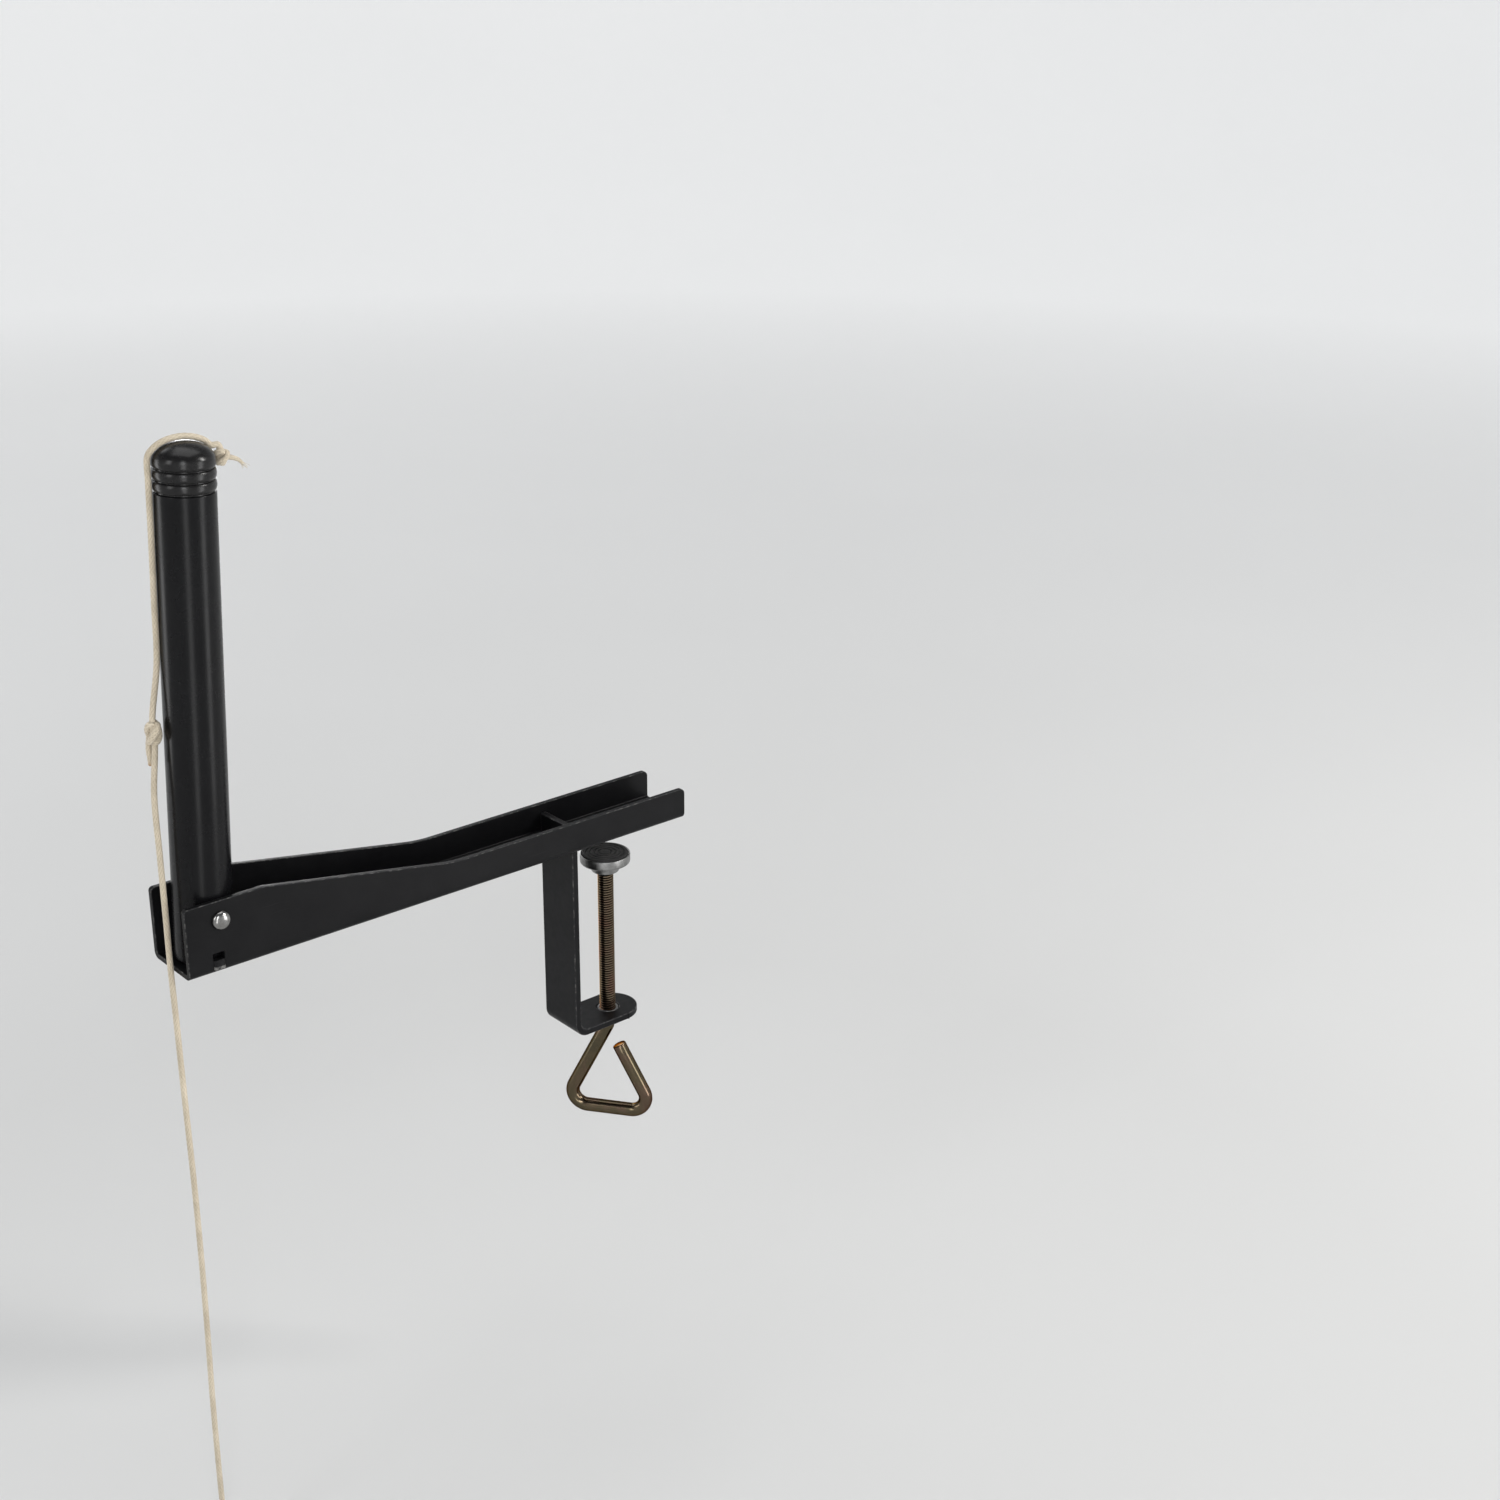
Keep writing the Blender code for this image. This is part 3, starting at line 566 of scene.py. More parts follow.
def lanced_lip(name, sgn):
    """The tongue of sheet under the window, pressed outwards to a rounded lip."""
    bm = bmesh.new()
    nu, nv = 14, 16
    w = LUG_W / 2 - 0.05
    z_hi, z_lo = LUG_HOLE_Z[0] + 0.05, LUG_LIP_Z - 0.4
    grid = []
    for j in range(nv + 1):
        t = j / nv
        z = z_hi + (z_lo - z_hi) * t
        if t < 0.72:
            swell = 0.30 + 0.70 * math.sin(math.pi / 2 * t / 0.72)
        else:
            swell = max(0.0, math.cos(math.pi / 2 * (t - 0.72) / 0.28)) ** 0.6
        row = []
        for i in range(nu + 1):
            q = -1 + 2 * i / nu
            side = (1 - abs(q) ** 5) ** 0.5
            out = HALF - 0.06 + (LUG_PROUD + 0.06) * swell * side
            row.append(bm.verts.new(Vector((LUG_X + q * w, sgn * out, z)) * MM))
        grid.append(row)
    back = [[bm.verts.new(Vector((v.co.x / MM, sgn * (HALF - 0.9 + 0.55 * LUG_PROUD * math.cos(math.pi / 2 * j / nv)), v.co.z / MM)) * MM)
             for v in row] for j, row in enumerate(grid)]
    for rows in (grid, back):
        for a, b in zip(rows, rows[1:]):
            for i in range(nu):
                bm.faces.new((a[i], a[i + 1], b[i + 1], b[i]))
    rim = [(grid[0][i], back[0][i]) for i in range(nu + 1)]
    rim += [(grid[j][nu], back[j][nu]) for j in range(1, nv + 1)]
    rim += [(grid[nv][i], back[nv][i]) for i in range(nu - 1, -1, -1)]
    rim += [(grid[j][0], back[j][0]) for j in range(nv - 1, 0, -1)]
    for k in range(len(rim)):
        a, b = rim[k], rim[(k + 1) % len(rim)]
        bm.faces.new((a[0], b[0], b[1], a[1]))
    ob = finish_mesh(name, bm, [M_POWDER], 55)
    at = ob.data.attributes.new("edge", "FLOAT", "CORNER")
    vals = np.zeros(len(ob.data.loops), np.float32)
    for p in ob.data.polygons:
        # the ledge along the lip's lower edge gets the edge value 2.2, which fills it with the pale thin paint and
        # chips: a painted highlight where light catches the ledge
        if abs(p.center.z - 2.1 * MM) < 0.6 * MM and abs(p.center.y) > (HALF + 0.2) * MM:
            vals[p.loop_start:p.loop_start + p.loop_total] = 2.2
    at.data.foreach_set("value", vals)
    return ob


lip_near = lanced_lip("lug_lip_near", -1)
lip_far = lanced_lip("lug_lip_far", 1)

# ------------------------------------------------------------ clamp strap
x0, x1 = STRAP_X, STRAP_X + STRAP_T
zb, zt = JAW_BOTTOM_Z, JAW_BOTTOM_Z + STRAP_T
strap_points = [(x0, STRAP_TOP_Z), (x0, zb), (JAW_END_X + 2, zb), (JAW_END_X + 2, zt), (x1, zt), (x1, STRAP_TOP_Z)]
strap = plain("strap_bar", prism_bm(rounded(strap_points, [0, STRAP_BEND_R, 0, 0, STRAP_BEND_R - STRAP_T, 0], 12),
                                    -STRAP_W / 2, STRAP_W / 2, "xz"))
hw = STRAP_W / 2
end_arc = [(JAW_END_X - hw + hw * math.cos(math.radians(a)), hw * math.sin(math.radians(a))) for a in range(-84, 85, 7)]
plan = [(x0 - 4, -hw - 3), (JAW_END_X - hw, -hw - 3)] + end_arc + [(JAW_END_X - hw, hw + 3), (x0 - 4, hw + 3)]
cut(strap, [(plain("c", prism_bm(plan, -95, 20, "xy")), "INTERSECT"),
            (plain("c", lathe_bm([(0, zt + 3), (JAW_HOLE_R, zt + 3), (JAW_HOLE_R, zb - 3), (0, zb - 3)], 48)), "DIFFERENCE")])
soften(strap, M_POWDER, 0.34)


# ------------------------------------------------------------ fillet welds
def weld(name, sgn):
    """A short fillet weld, laid as overlapping ripples, in the corner between the
    strap's leg and the channel wall."""
    bm = bmesh.new()
    cx, cy = x1 - 0.05, sgn * (INNER + 0.05)
    lo, hi = SHEET - 0.1, STRAP_TOP_Z - 0.7
    n, k = 56, 12
    rings = []
    for j in range(n + 1):
        t = j / n
        z = lo + (hi - lo) * t
        swell = min(1.0, (t / 0.07) ** 0.5 if t < 0.07 else 1.0, ((1 - t) / 0.1) ** 0.5 if t > 0.9 else 1.0)
        ripple = 0.10 * abs(math.sin(math.pi * (t * 6.5 + 0.15)))
        r = max(0.02, (2.15 + ripple) * swell)
        ring = [bm.verts.new(Vector((cx, cy, z)) * MM)]
        for i in range(k + 1):
            a = math.pi / 2 * i / k
            bulge = 1.0 - 0.16 * math.sin(2 * a)
            lag = 0.25 * math.sin(2 * a)
            ring.append(bm.verts.new(Vector((cx + r * bulge * math.cos(a), cy - sgn * r * bulge * math.sin(a), z - lag)) * MM))
        rings.append(ring)
    for a, b in zip(rings, rings[1:]):
        for i in range(len(a)):
            j = (i + 1) % len(a)
            bm.faces.new((a[i], a[j], b[j], b[i]))
    bm.faces.new(rings[0])
    bm.faces.new(list(reversed(rings[-1])))
    return finish_mesh(name, bm, [M_POWDER], 60)


weld_near = weld("weld_bead_near", -1)
weld_far = weld("weld_bead_far", 1)


# ------------------------------------------------------------ turned pieces
def arc_pts(cx, cz, r, a0, a1, n):
    return [(cx + r * math.cos(math.radians(a0 + (a1 - a0) * i / n)),
             cz + r * math.sin(math.radians(a0 + (a1 - a0) * i / n))) for i in range(n + 1)]


fl_top = JAW_BOTTOM_Z - 0.02
fl_bot = JAW_BOTTOM_Z - GAP - 2.6
bush_profile = [(3.3, zt - 0.2), (3.9, zt - 0.2), (4.0, zt - 0.35), (4.0, fl_top)]
bush_profile += [(5.35, fl_top)] + arc_pts(5.3, fl_top - 0.3, 0.3, 90, 0, 4)[1:]
bush_profile += [(5.6, fl_bot + 0.5)] + arc_pts(5.2, fl_bot + 0.4, 0.4, 0, -90, 5)
bush_profile += [(3.75, fl_bot), (3.3, fl_bot + 0.45)]
for k in range(8):
    z = fl_bot + 0.6 + k * 0.5
    bush_profile += [(3.12, z), (3.3, z + 0.25)]
bush = finish_mesh("bush", lathe_bm(bush_profile, 72), [M_STEEL], 40)

facing_bottom = -9.5 - 1.6
facing_profile = [(0, -9.5), (1.2, -9.5)]
for r in (2.4, 4.0, 5.6, 7.0):
    facing_profile += [(r - 0.35, -9.5), (r - 0.12, -9.78), (r + 0.12, -9.78), (r + 0.35, -9.5)]
facing_profile += [(8.1, -9.5)] + arc_pts(8.1, -10.0, 0.5, 90, 0, 6)[1:] + [(8.6, facing_bottom), (0, facing_bottom)]
facing = finish_mesh("facing_disc", lathe_bm(facing_profile, 96), [M_RUBBER], 40)

cup_top = facing_bottom - 0.02
cup_bottom = facing_bottom - GAP - 2.2
boss_bottom = cup_bottom - 3.4
cup_profile = [(0, cup_top), (8.75, cup_top), (8.75, cup_top + 0.9)]
cup_profile += arc_pts(9.1, cup_top + 0.9, 0.3, 140, 0, 6)
cup_profile += [(9.4, cup_bottom + 0.9)] + arc_pts(8.5, cup_bottom + 0.9, 0.9, 0, -90, 8)[1:]
cup_profile += [(6.6, cup_bottom)] + arc_pts(6.4, cup_bottom - 0.6, 0.6, 90, 180, 6)[1:]
cup_profile += [(5.4, cup_bottom - 1.2), (5.25, boss_bottom + 0.5)]
cup_profile += arc_pts(4.75, boss_bottom + 0.5, 0.5, 0, -90, 6)[1:]
cup_profile += [(3.4, boss_bottom), (2.8, boss_bottom + 0.4), (2.8, TIP_TOP_Z + 0.1), (0, TIP_TOP_Z + 0.1)]
cup = finish_mesh("pad_cup", lathe_bm(cup_profile, 96), [M_STEEL], 35)

# ------------------------------------------------------------ post tube
tube_profile = [(POST_R - POST_WALL, POST_TOP), (POST_R - 0.35, POST_TOP)]
tube_profile += arc_pts(POST_R - 0.35, POST_TOP - 0.35, 0.35, 90, 0, 6)[1:]
for k in range(1, 30):
    tube_profile.append((POST_R, POST_TOP - 0.35 + (POST_FOOT - POST_TOP + 0.7) * k / 30))
tube_profile += arc_pts(POST_R - 0.35, POST_FOOT + 0.35, 0.35, 0, -90, 6)
tube_profile += [(POST_R - POST_WALL, POST_FOOT)]
tube = plain("tube_skin", leaned(lathe_bm(tube_profile, 96)))
hole = moved(across_y(lathe_bm([(0, 20), (RIVET_HOLE_R, 20), (RIVET_HOLE_R, -20), (0, -20)], 32)), PIVOT)
cut(tube, [(plain("c", hole), "DIFFERENCE")])
tube.data.materials.clear()
tube.data.materials.append(M_GLOSS)
tube.data.shade_smooth()
tube.data.set_sharp_from_angle(angle=math.radians(35))

# ------------------------------------------------------------ post cap
cap_base = POST_TOP + 0.04
profile = []
dome_base = POST_TOP + GAP + BEAD_PITCH * 2 + 2.2
shoulder_z = POST_TOP + GAP + BEAD_PITCH * 2
for i in range(0, 31):
    a = math.radians(90 * i / 30)
    profile.append((BEAD_R * math.sin(a), dome_base + DOME_H * math.cos(a)))
profile += [(BEAD_R, shoulder_z + 1.5)] + [
    (BEAD_R - 0.75 * (1 - math.cos(t)), shoulder_z + 1.5 - 1.35 * math.sin(t))
    for t in (math.radians(90 * i / 8) for i in range(1, 9))]
for k in (1, 0):
    lo = POST_TOP + GAP + BEAD_PITCH * k
    mid = lo + BEAD_PITCH / 2
    for i in range(0, 19):
        a = math.radians(90 - 10 * i)
        profile.append((GROOVE_R + 0.75 * math.cos(a) ** 0.8 if math.cos(a) > 1e-6 else GROOVE_R,
                        mid + (BEAD_PITCH / 2 - 0.16) * math.sin(a)))
profile += [(GROOVE_R, cap_base + 0.05), (GROOVE_R - 0.1, cap_base), (CAP_STEM_R, cap_base),
            (CAP_STEM_R, POST_TOP - CAP_STEM_L + 1.0), (CAP_STEM_R - 1.0, POST_TOP - CAP_STEM_L), (0, POST_TOP - CAP_STEM_L)]
cap = finish_mesh("cap_moulding", leaned(lathe_bm(profile, 128)), [M_PLASTIC], 32)

# ------------------------------------------------------------ rivet
head = []
for i in range(0, 13):
    t = math.radians(90 * i / 12)
    flat = 1.0 - 0.10 * math.cos(t) ** 6
    head.append((RIVET_HEAD_R * math.sin(t) ** 0.92 if i else 0.0, HALF + 0.15 + RIVET_HEAD_H * math.cos(t) * flat))
head.append((RIVET_HEAD_R + 0.02, HALF + 0.08))
head.append((RIVET_HEAD_R - 0.12, HALF + 0.01))
prof = head + [(RIVET_R, HALF + 0.01), (RIVET_R, -HALF - 0.01)] + [(r, -z) for r, z in reversed(head)]
rivet = finish_mesh("rivet_domes", moved(across_y(lathe_bm(prof, 64)), PIVOT), [M_RIVET], 50)


# ------------------------------------------------------------ screw and handle
def corner(prev, at, nxt, radius, seg):
    a, b, c = Vector(prev), Vector(at), Vector(nxt)
    u, v = (a - b).normalized(), (c - b).normalized()
    h = u.angle(v) / 2
    centre = b + (u + v).normalized() * (radius / math.sin(h))
    d = radius / math.tan(h)
    s, e = b + u * d - centre, b + v * d - centre
    sweep = s.angle_signed(e)
    return [tuple(Matrix.Rotation(-sweep * k / seg, 2) @ s + centre) for k in range(seg + 1)]


def screw_rod():
    n = 48
    bm = bmesh.new()
    root_shade = bm.verts.layers.float.new("root_shade")
    thread = bm.verts.layers.float.new("thread")
    prof = [(0.06, 1.0), (0.12, 1.0), (0.27, 0.5), (0.42, 0.0), (0.50, -0.04), (0.58, 0.0), (0.73, 0.5), (0.88, 1.0)]
    minor = THREAD_R - 0.60
    z_hi, z_lo = TIP_TOP_Z - 1.5, THREAD_END_Z + 0.1
    turns = int((z_hi - z_lo) / PITCH) + 3
    cols = []
    for i in range(n + 1):
        th = 2 * math.pi * i / n
        col = []
        for j in range(-8, turns * 8):
            ph, depth = prof[j % 8]
            z = z_hi - PITCH * (j // 8 + ph) + PITCH * i / n
            zc = min(z_hi, max(z_lo, z))
            r = minor + 0.60 * depth
            # the start is chamfered down to the turned tip, the end runs out on the rod
            top_in = min(1.0, max(0.0, (z_hi - zc) / 2.4))
            r = min(r, TIP_R - 0.02 + (THREAD_R - TIP_R + 0.02) * top_in)
            if zc > THREAD_TOP_Z + 0.3:
                r = TIP_R - 0.02 + 0.25 * (r - TIP_R) * max(0.0, 1 - (zc - THREAD_TOP_Z) / 2.2)
            out = min(1.0, max(0.0, (zc - z_lo) / 1.8))
            r = ROD_R + (r - ROD_R) * out
            if zc in (z_hi, z_lo):
                r = TIP_R - 0.02 if zc == z_hi else ROD_R
            v = bm.verts.new(Vector((r * math.cos(th), r * math.sin(th), zc)) * MM)
            v[thread] = min(1.0, max(0.0, (zc - z_lo) / 2.0)) if zc < THREAD_TOP_Z + 0.3 else 0.0
            # marks the thread's roots, where the zinc material paints shade
            v[root_shade] = max(0.0, min(1.0, (THREAD_R - 0.02 - r) / 0.12)) if z_lo + 1.5 < zc < THREAD_TOP_Z else 0.0
            col.append(v)
        cols.append(col)
    for a, b in zip(cols, cols[1:]):
        for j in range(len(a) - 1):
            bm.faces.new((a[j], a[j + 1], b[j + 1], b[j]))
    # turned tip above the thread
    tip = [(0.0, TIP_TOP_Z), (TIP_R - 0.5, TIP_TOP_Z), (TIP_R - 0.15, TIP_TOP_Z - 0.15), (TIP_R - 0.02, TIP_TOP_Z - 0.5), (TIP_R - 0.02, z_hi)]
    prev = None
    for r, z in tip:
        ring = [bm.verts.new(Vector((r * math.cos(2 * math.pi * i / n), r * math.sin(2 * math.pi * i / n), z)) * MM)
                for i in range(n)] if r > 0 else [bm.verts.new(Vector((0, 0, z)) * MM)]
        if prev is not None:
            for i in range(n):
                j = (i + 1) % n
                if len(prev) == 1:
                    bm.faces.new((prev[0], ring[i], ring[j]))
                else:
                    bm.faces.new((prev[i], ring[i], ring[j], prev[j]))
        prev = ring
    # the bent handle, swept from the thread's end
    slope = HALF_W / (APEX_Z - BAR_Z)
    apex, left, right_ = (0.0, APEX_Z), (-HALF_W, BAR_Z), (HALF_W, BAR_Z)
    end = (slope * (APEX_Z - HANDLE_END_Z), HANDLE_END_Z)
    pts = [(0.0, z_lo)]
    bends = [corner((0, TIP_TOP_Z), apex, left, APEX_BEND_R, 12),
             corner(apex, left, right_, HANDLE_BEND_R, 22),
             corner(left, right_, end, HANDLE_BEND_R, 22)]
    for b in bends:
        start = Vector(pts[-1])
        gap = (Vector(b[0]) - start).length
        for k in range(1, int(gap / 3.0) + 1):
            pts.append(tuple(start.lerp(Vector(b[0]), k / (int(gap / 3.0) + 1))))
        pts += b
    start = Vector(pts[-1])
    stop = Vector(end)
    for k in range(1, 6):
        pts.append(tuple(start.lerp(stop, k / 6)))
    away = (stop - start).normalized()
    pts.append(tuple(stop - away * 0.32))
    pts.append(tuple(stop - away * 0.12))
    pts.append(tuple(stop))
    radii = [ROD_R] * (len(pts) - 2) + [ROD_R - 0.08, ROD_R - 0.3]
    ang = math.radians(HANDLE_ANGLE)
    p3 = [Vector((u * math.cos(ang), u * math.sin(ang), z)) for u, z in pts]
    e1, e2 = Vector((1, 0, 0)), Vector((0, 1, 0))
    t0 = Vector((0, 0, -1))
    prev = None
    for k, (p, r) in enumerate(zip(p3, radii)):
        if k == 0:
            t = Vector((0, 0, -1))
        elif k == len(p3) - 1:
            t = (p3[k] - p3[k - 1]).normalized()
        else:
            t = ((p3[k] - p3[k - 1]).normalized() + (p3[k + 1] - p3[k]).normalized()).normalized()
        q = t0.rotation_difference(t)
        e1, e2 = q @ e1, q @ e2
        t0 = t
        ring = [bm.verts.new((p + r * (e1 * math.cos(2 * math.pi * i / n) + e2 * math.sin(2 * math.pi * i / n))) * MM) for i in range(n)]
        if prev is not None:
            for i in range(n):
                j = (i + 1) % n
                bm.faces.new((prev[i], ring[i], ring[j], prev[j]))
        prev = ring
    mid = bm.verts.new((p3[-1] + t0 * 0.06) * MM)
    for i in range(n):
        bm.faces.new((prev[i], mid, prev[(i + 1) % n]))
    return finish_mesh("screw_rod", bm, [M_ZINC], 38, merge=4e-7)


screw = screw_rod()


# ------------------------------------------------------------ cord
def post_point(dx, dy, dz):
    x = PIVOT[0] + dx * math.cos(LEAN) + dz * math.sin(LEAN)
    z = PIVOT[2] - dx * math.sin(LEAN) + dz * math.cos(LEAN)
    return Vector((x, PIVOT[1] + dy, z))


def smooth_route(knots, step):
    """Evenly spaced points on one smooth curve through the route's points."""
    pts = [knots[0] * 2 - knots[1]] + knots + [knots[-1] * 2 - knots[-2]]
    fine = []
    for i in range(1, len(pts) - 2):
        p0, p1, p2, p3 = pts[i - 1:i + 3]
        t0 = 0.0
        t1 = t0 + (p1 - p0).length ** 0.5
        t2 = t1 + (p2 - p1).length ** 0.5
        t3 = t2 + (p3 - p2).length ** 0.5
        for k in range(48):
            t = t1 + (t2 - t1) * k / 48
            a1 = p0 * ((t1 - t) / (t1 - t0)) + p1 * ((t - t0) / (t1 - t0))
            a2 = p1 * ((t2 - t) / (t2 - t1)) + p2 * ((t - t1) / (t2 - t1))
            a3 = p2 * ((t3 - t) / (t3 - t2)) + p3 * ((t - t2) / (t3 - t2))
            b1 = a1 * ((t2 - t) / (t2 - t0)) + a2 * ((t - t0) / (t2 - t0))
            b2 = a2 * ((t3 - t) / (t3 - t1)) + a3 * ((t - t1) / (t3 - t1))
            fine.append(b1 * ((t2 - t) / (t2 - t1)) + b2 * ((t - t1) / (t2 - t1)))
    fine.append(knots[-1].copy())
    return even(fine, step)


def even(fine, step):
    total = sum((b - a).length for a, b in zip(fine, fine[1:]))
    n = max(2, round(total / step))
    want = total / n
    out, run = [fine[0].copy()], 0.0
    for a, b in zip(fine, fine[1:]):
        seg = (b - a).length
        while run + seg >= want - 1e-9 and len(out) < n:
            a = a.lerp(b, (want - run) / seg)
            out.append(a.copy())
            seg = (b - a).length
            run = 0.0
        run += seg
    out.append(fine[-1].copy())
    return out, total


CARRIERS = 6
LAY = 1.9


def braid(name, pts, radius, around=24, melt=(False, False), closed=False, squeeze=None):
    """A braided tube along evenly spaced points in mm: two sets of yarns that
    cross over and under, as relief in the mesh."""
    P = [Vector(p) for p in pts]
    m = len(P)
    s = 0.0
    t0 = (P[1] - P[0]).normalized()
    ref = Vector((0, 0, 1)) if abs(t0.z) < 0.8 else Vector((0, 1, 0))
    e1 = (ref - t0 * ref.dot(t0)).normalized()
    verts, hollow_shade, melts = [], [], []
    for k in range(m):
        if closed:
            t = (P[(k + 1) % m] - P[k - 1]).normalized()
        else:
            t = (P[min(k + 1, m - 1)] - P[max(k - 1, 0)]).normalized()
        e1 = t0.rotation_difference(t) @ e1
        e1 = (e1 - t * e1.dot(t)).normalized()
        e2 = t.cross(e1)
        t0 = t
        if k:
            s += (P[k] - P[k - 1]).length
        base = radius if squeeze is None else radius * squeeze(k / (m - 1))
        left, right_ = k, m - 1 - k
        burn = 0.0
        if not closed:
            for flag, d in zip(melt, (left, right_)):
                if flag:
                    burn = max(burn, max(0.0, 1.0 - d / 5.0))
        for i in range(around):
            th = i / around
            u = th * CARRIERS + s / LAY
            v = th * CARRIERS - s / LAY
            fu, fv = u - math.floor(u), v - math.floor(v)
            over = (math.floor(u) + math.floor(v)) % 2 == 0
            wide, long_ = (fu, fv) if over else (fv, fu)
            h = math.sin(math.pi * wide) ** 0.7 * (0.45 + 0.55 * math.sin(math.pi * long_) ** 0.6)
            h = h * (1 - burn) + 0.8 * burn
            r = base * (0.90 + 0.12 * h) * (1.0 + 0.10 * burn)
            verts.append(P[k] + (e1 * math.cos(2 * math.pi * th) + e2 * math.sin(2 * math.pi * th)) * r)
            # low relief between the yarns is marked for painted shade in the cord material
            hollow_shade.append(max(0.0, 1.0 - 1.7 * h))
            melts.append(burn)
    faces = []
    span = m if closed else m - 1
    for k in range(span):
        a, b = k * around, ((k + 1) % m) * around
        for i in range(around):
            j = (i + 1) % around
            faces.append((a + i, a + j, b + j, b + i))
    if not closed:
        for idx, inward in ((0, 1), (m - 1, -1)):
            t = (P[1] - P[0]).normalized() if idx == 0 else (P[-1] - P[-2]).normalized()
            out = -t if idx == 0 else t
            ring0 = [idx * around + i for i in range(around)]
            for f, d in ((0.75, 0.32), (0.35, 0.52)):
                ring1 = []
                for i in ring0[:around]:
                    c = P[idx]
                    base_v = verts[idx * around + ring0.index(i)]
                    ring1.append(len(verts))
                    verts.append(c + (base_v - c) * f + out * radius * d)
                    hollow_shade.append(0.15)
                    melts.append(1.0 if melt[0 if idx == 0 else 1] else 0.0)
                for i in range(around):
                    j = (i + 1) % around
                    faces.append((ring0[i], ring1[i], ring1[j], ring0[j]))
                ring0 = ring1
            verts.append(P[idx] + out * radius * 0.58)
            hollow_shade.append(0.1)
            melts.append(1.0 if melt[0 if idx == 0 else 1] else 0.0)
            for i in range(around):
                faces.append((ring0[i], len(verts) - 1, ring0[(i + 1) % around]))
    me = bpy.data.meshes.new(name)
    me.from_pydata([tuple(v * MM) for v in verts], [], faces)
    for key, vals in (("hollow_shade", hollow_shade), ("melt", melts)):
        at = me.attributes.new(key, "FLOAT", "POINT")
        at.data.foreach_set("value", np.array(vals, np.float32))
    me.materials.append(M_CORD)
    bm = bmesh.new()
    bm.from_mesh(me)
    bmesh.ops.recalc_face_normals(bm, faces=bm.faces)
    bm.to_mesh(me)
    bm.free()
    me.shade_smooth()
    return link(name, me)


CORD_R = CORD_D / 2
lift = CORD_R + 0.12
over = []
for a in (62, 44, 24, 4, -16, -36, -56, -76):
    t = math.radians(a)
    over.append(post_point((BEAD_R + lift) * math.sin(t), 0.5 + 1.3 * (62 - a) / 138,
                           dome_base + (DOME_H + lift) * math.cos(t)))
knot_cap_at = post_point(BEAD_R + KNOT_CAP_R[0] + 0.4, 0.0, dome_base - 0.6)
knot_mid_at = post_point(-(POST_R + KNOT_MID_R[0] + 0.35), 2.9, 61.5)
knot_end_at = Vector((-176.9, -1.2, DROP_END_Z - KNOT_END_R[2] - GAP))
side_r = POST_R + CORD_R + 0.06
route = [knot_cap_at.copy(), knot_cap_at + Vector((-0.5, 0.1, KNOT_CAP_R[2] + GAP + 0.5))]
route += over
route += [post_point(-math.sqrt((BEAD_R + CORD_R + 0.06) ** 2 - 4.0), 2.0, POST_TOP + 3.4),
          post_point(-math.sqrt(side_r ** 2 - 2.3 ** 2), 2.3, POST_TOP - 12.0),
          post_point(-math.sqrt(side_r ** 2 - 2.6 ** 2), 2.6, POST_TOP - 34.0),
          post_point(-math.sqrt(side_r ** 2 - 2.8 ** 2) - 0.08, 2.8, 84.0),
          knot_mid_at + Vector((0.0, 0.0, KNOT_MID_R[2] + GAP)),
          knot_mid_at + Vector((0.0, -0.1, -KNOT_MID_R[2] - GAP)),
          Vector((-174.2, 2.2, 60.0)), Vector((-174.9, 1.0, 40.0)),
          Vector((-175.7, -0.6, 20.0)), Vector((-176.3, -1.6, 2.0)),
          Vector((-176.3, -2.0, -20.0)), Vector((-176.2, -2.2, -48.0)),
          Vector((-175.9, -2.2, -78.0)), Vector((-175.9, -2.0, -108.0)),
          Vector((-176.2, -1.7, -138.0)), Vector((-176.7, -1.4, -168.0)),
          Vector((-176.9, -1.3, -196.0)), Vector((-176.9, -1.2, DROP_END_Z)),
          knot_end_at.copy()]
cord_pts, cord_len = smooth_route(route, 0.27)
cord = braid("tension_cord", cord_pts, CORD_R)
print("cord length mm", round(cord_len, 1), "points", len(cord_pts))


def knot(name, at, big, tall, strand, tilt=(0.0, 0.0), turn_by=0.0):
    """A drawn-tight overhand knot: the strand passes twice round the axis while it
    weaves in and out three times."""
    a_in = 0.30 * big
    rad = big - strand - a_in
    rise = tall - strand
    m = Matrix.Rotation(tilt[0], 3, "X") @ Matrix.Rotation(tilt[1], 3, "Y") @ Matrix.Rotation(turn_by, 3, "Z")
    pts = []
    steps = 190
    for k in range(steps):
        t = 4 * math.pi * k / steps
        r = rad + a_in * math.cos(1.5 * t)
        z = rise * math.sin(1.5 * t)
        pts.append(at + m @ Vector((r * math.cos(t), r * math.sin(t), z)))
    return braid(name, pts, strand, around=20, closed=True)


knot_cap = knot("knot_at_cap", knot_cap_at, 2.85, 2.75, 0.95, (0.25, 0.35), 0.6)
knot_mid = knot("knot_mid", knot_mid_at, 3.0, 4.0, 1.06, (0.12, 0.10), 2.2)
knot_end = knot("knot_end", knot_end_at, 3.0, 3.4, 0.96, (0.05, -0.1), 1.1)

tail_cap_pts = [knot_cap_at + Vector((0.8, 0.2, -0.2)),
                knot_cap_at + Vector((KNOT_CAP_R[0] + GAP, 0.2, -0.6)),
                knot_cap_at + Vector((KNOT_CAP_R[0] + 1.9, 0.2, -1.1)),
                knot_cap_at + Vector((KNOT_CAP_R[0] + 3.5, 0.3, -1.9)),
                knot_cap_at + Vector((KNOT_CAP_R[0] + 4.7, 0.4, -3.0))]
tail_mid_pts = [knot_mid_at + Vector((-0.7, 1.6, -1.2)),
                knot_mid_at + Vector((-0.9, 2.05, -KNOT_MID_R[2] + 0.3)),
                knot_mid_at + Vector((-1.0, 2.4, -KNOT_MID_R[2] - 2.6)),
                knot_mid_at + Vector((-0.9, 2.3, -KNOT_MID_R[2] - 5.2)),
                knot_mid_at + Vector((-0.7, 2.2, -KNOT_MID_R[2] - 7.6))]
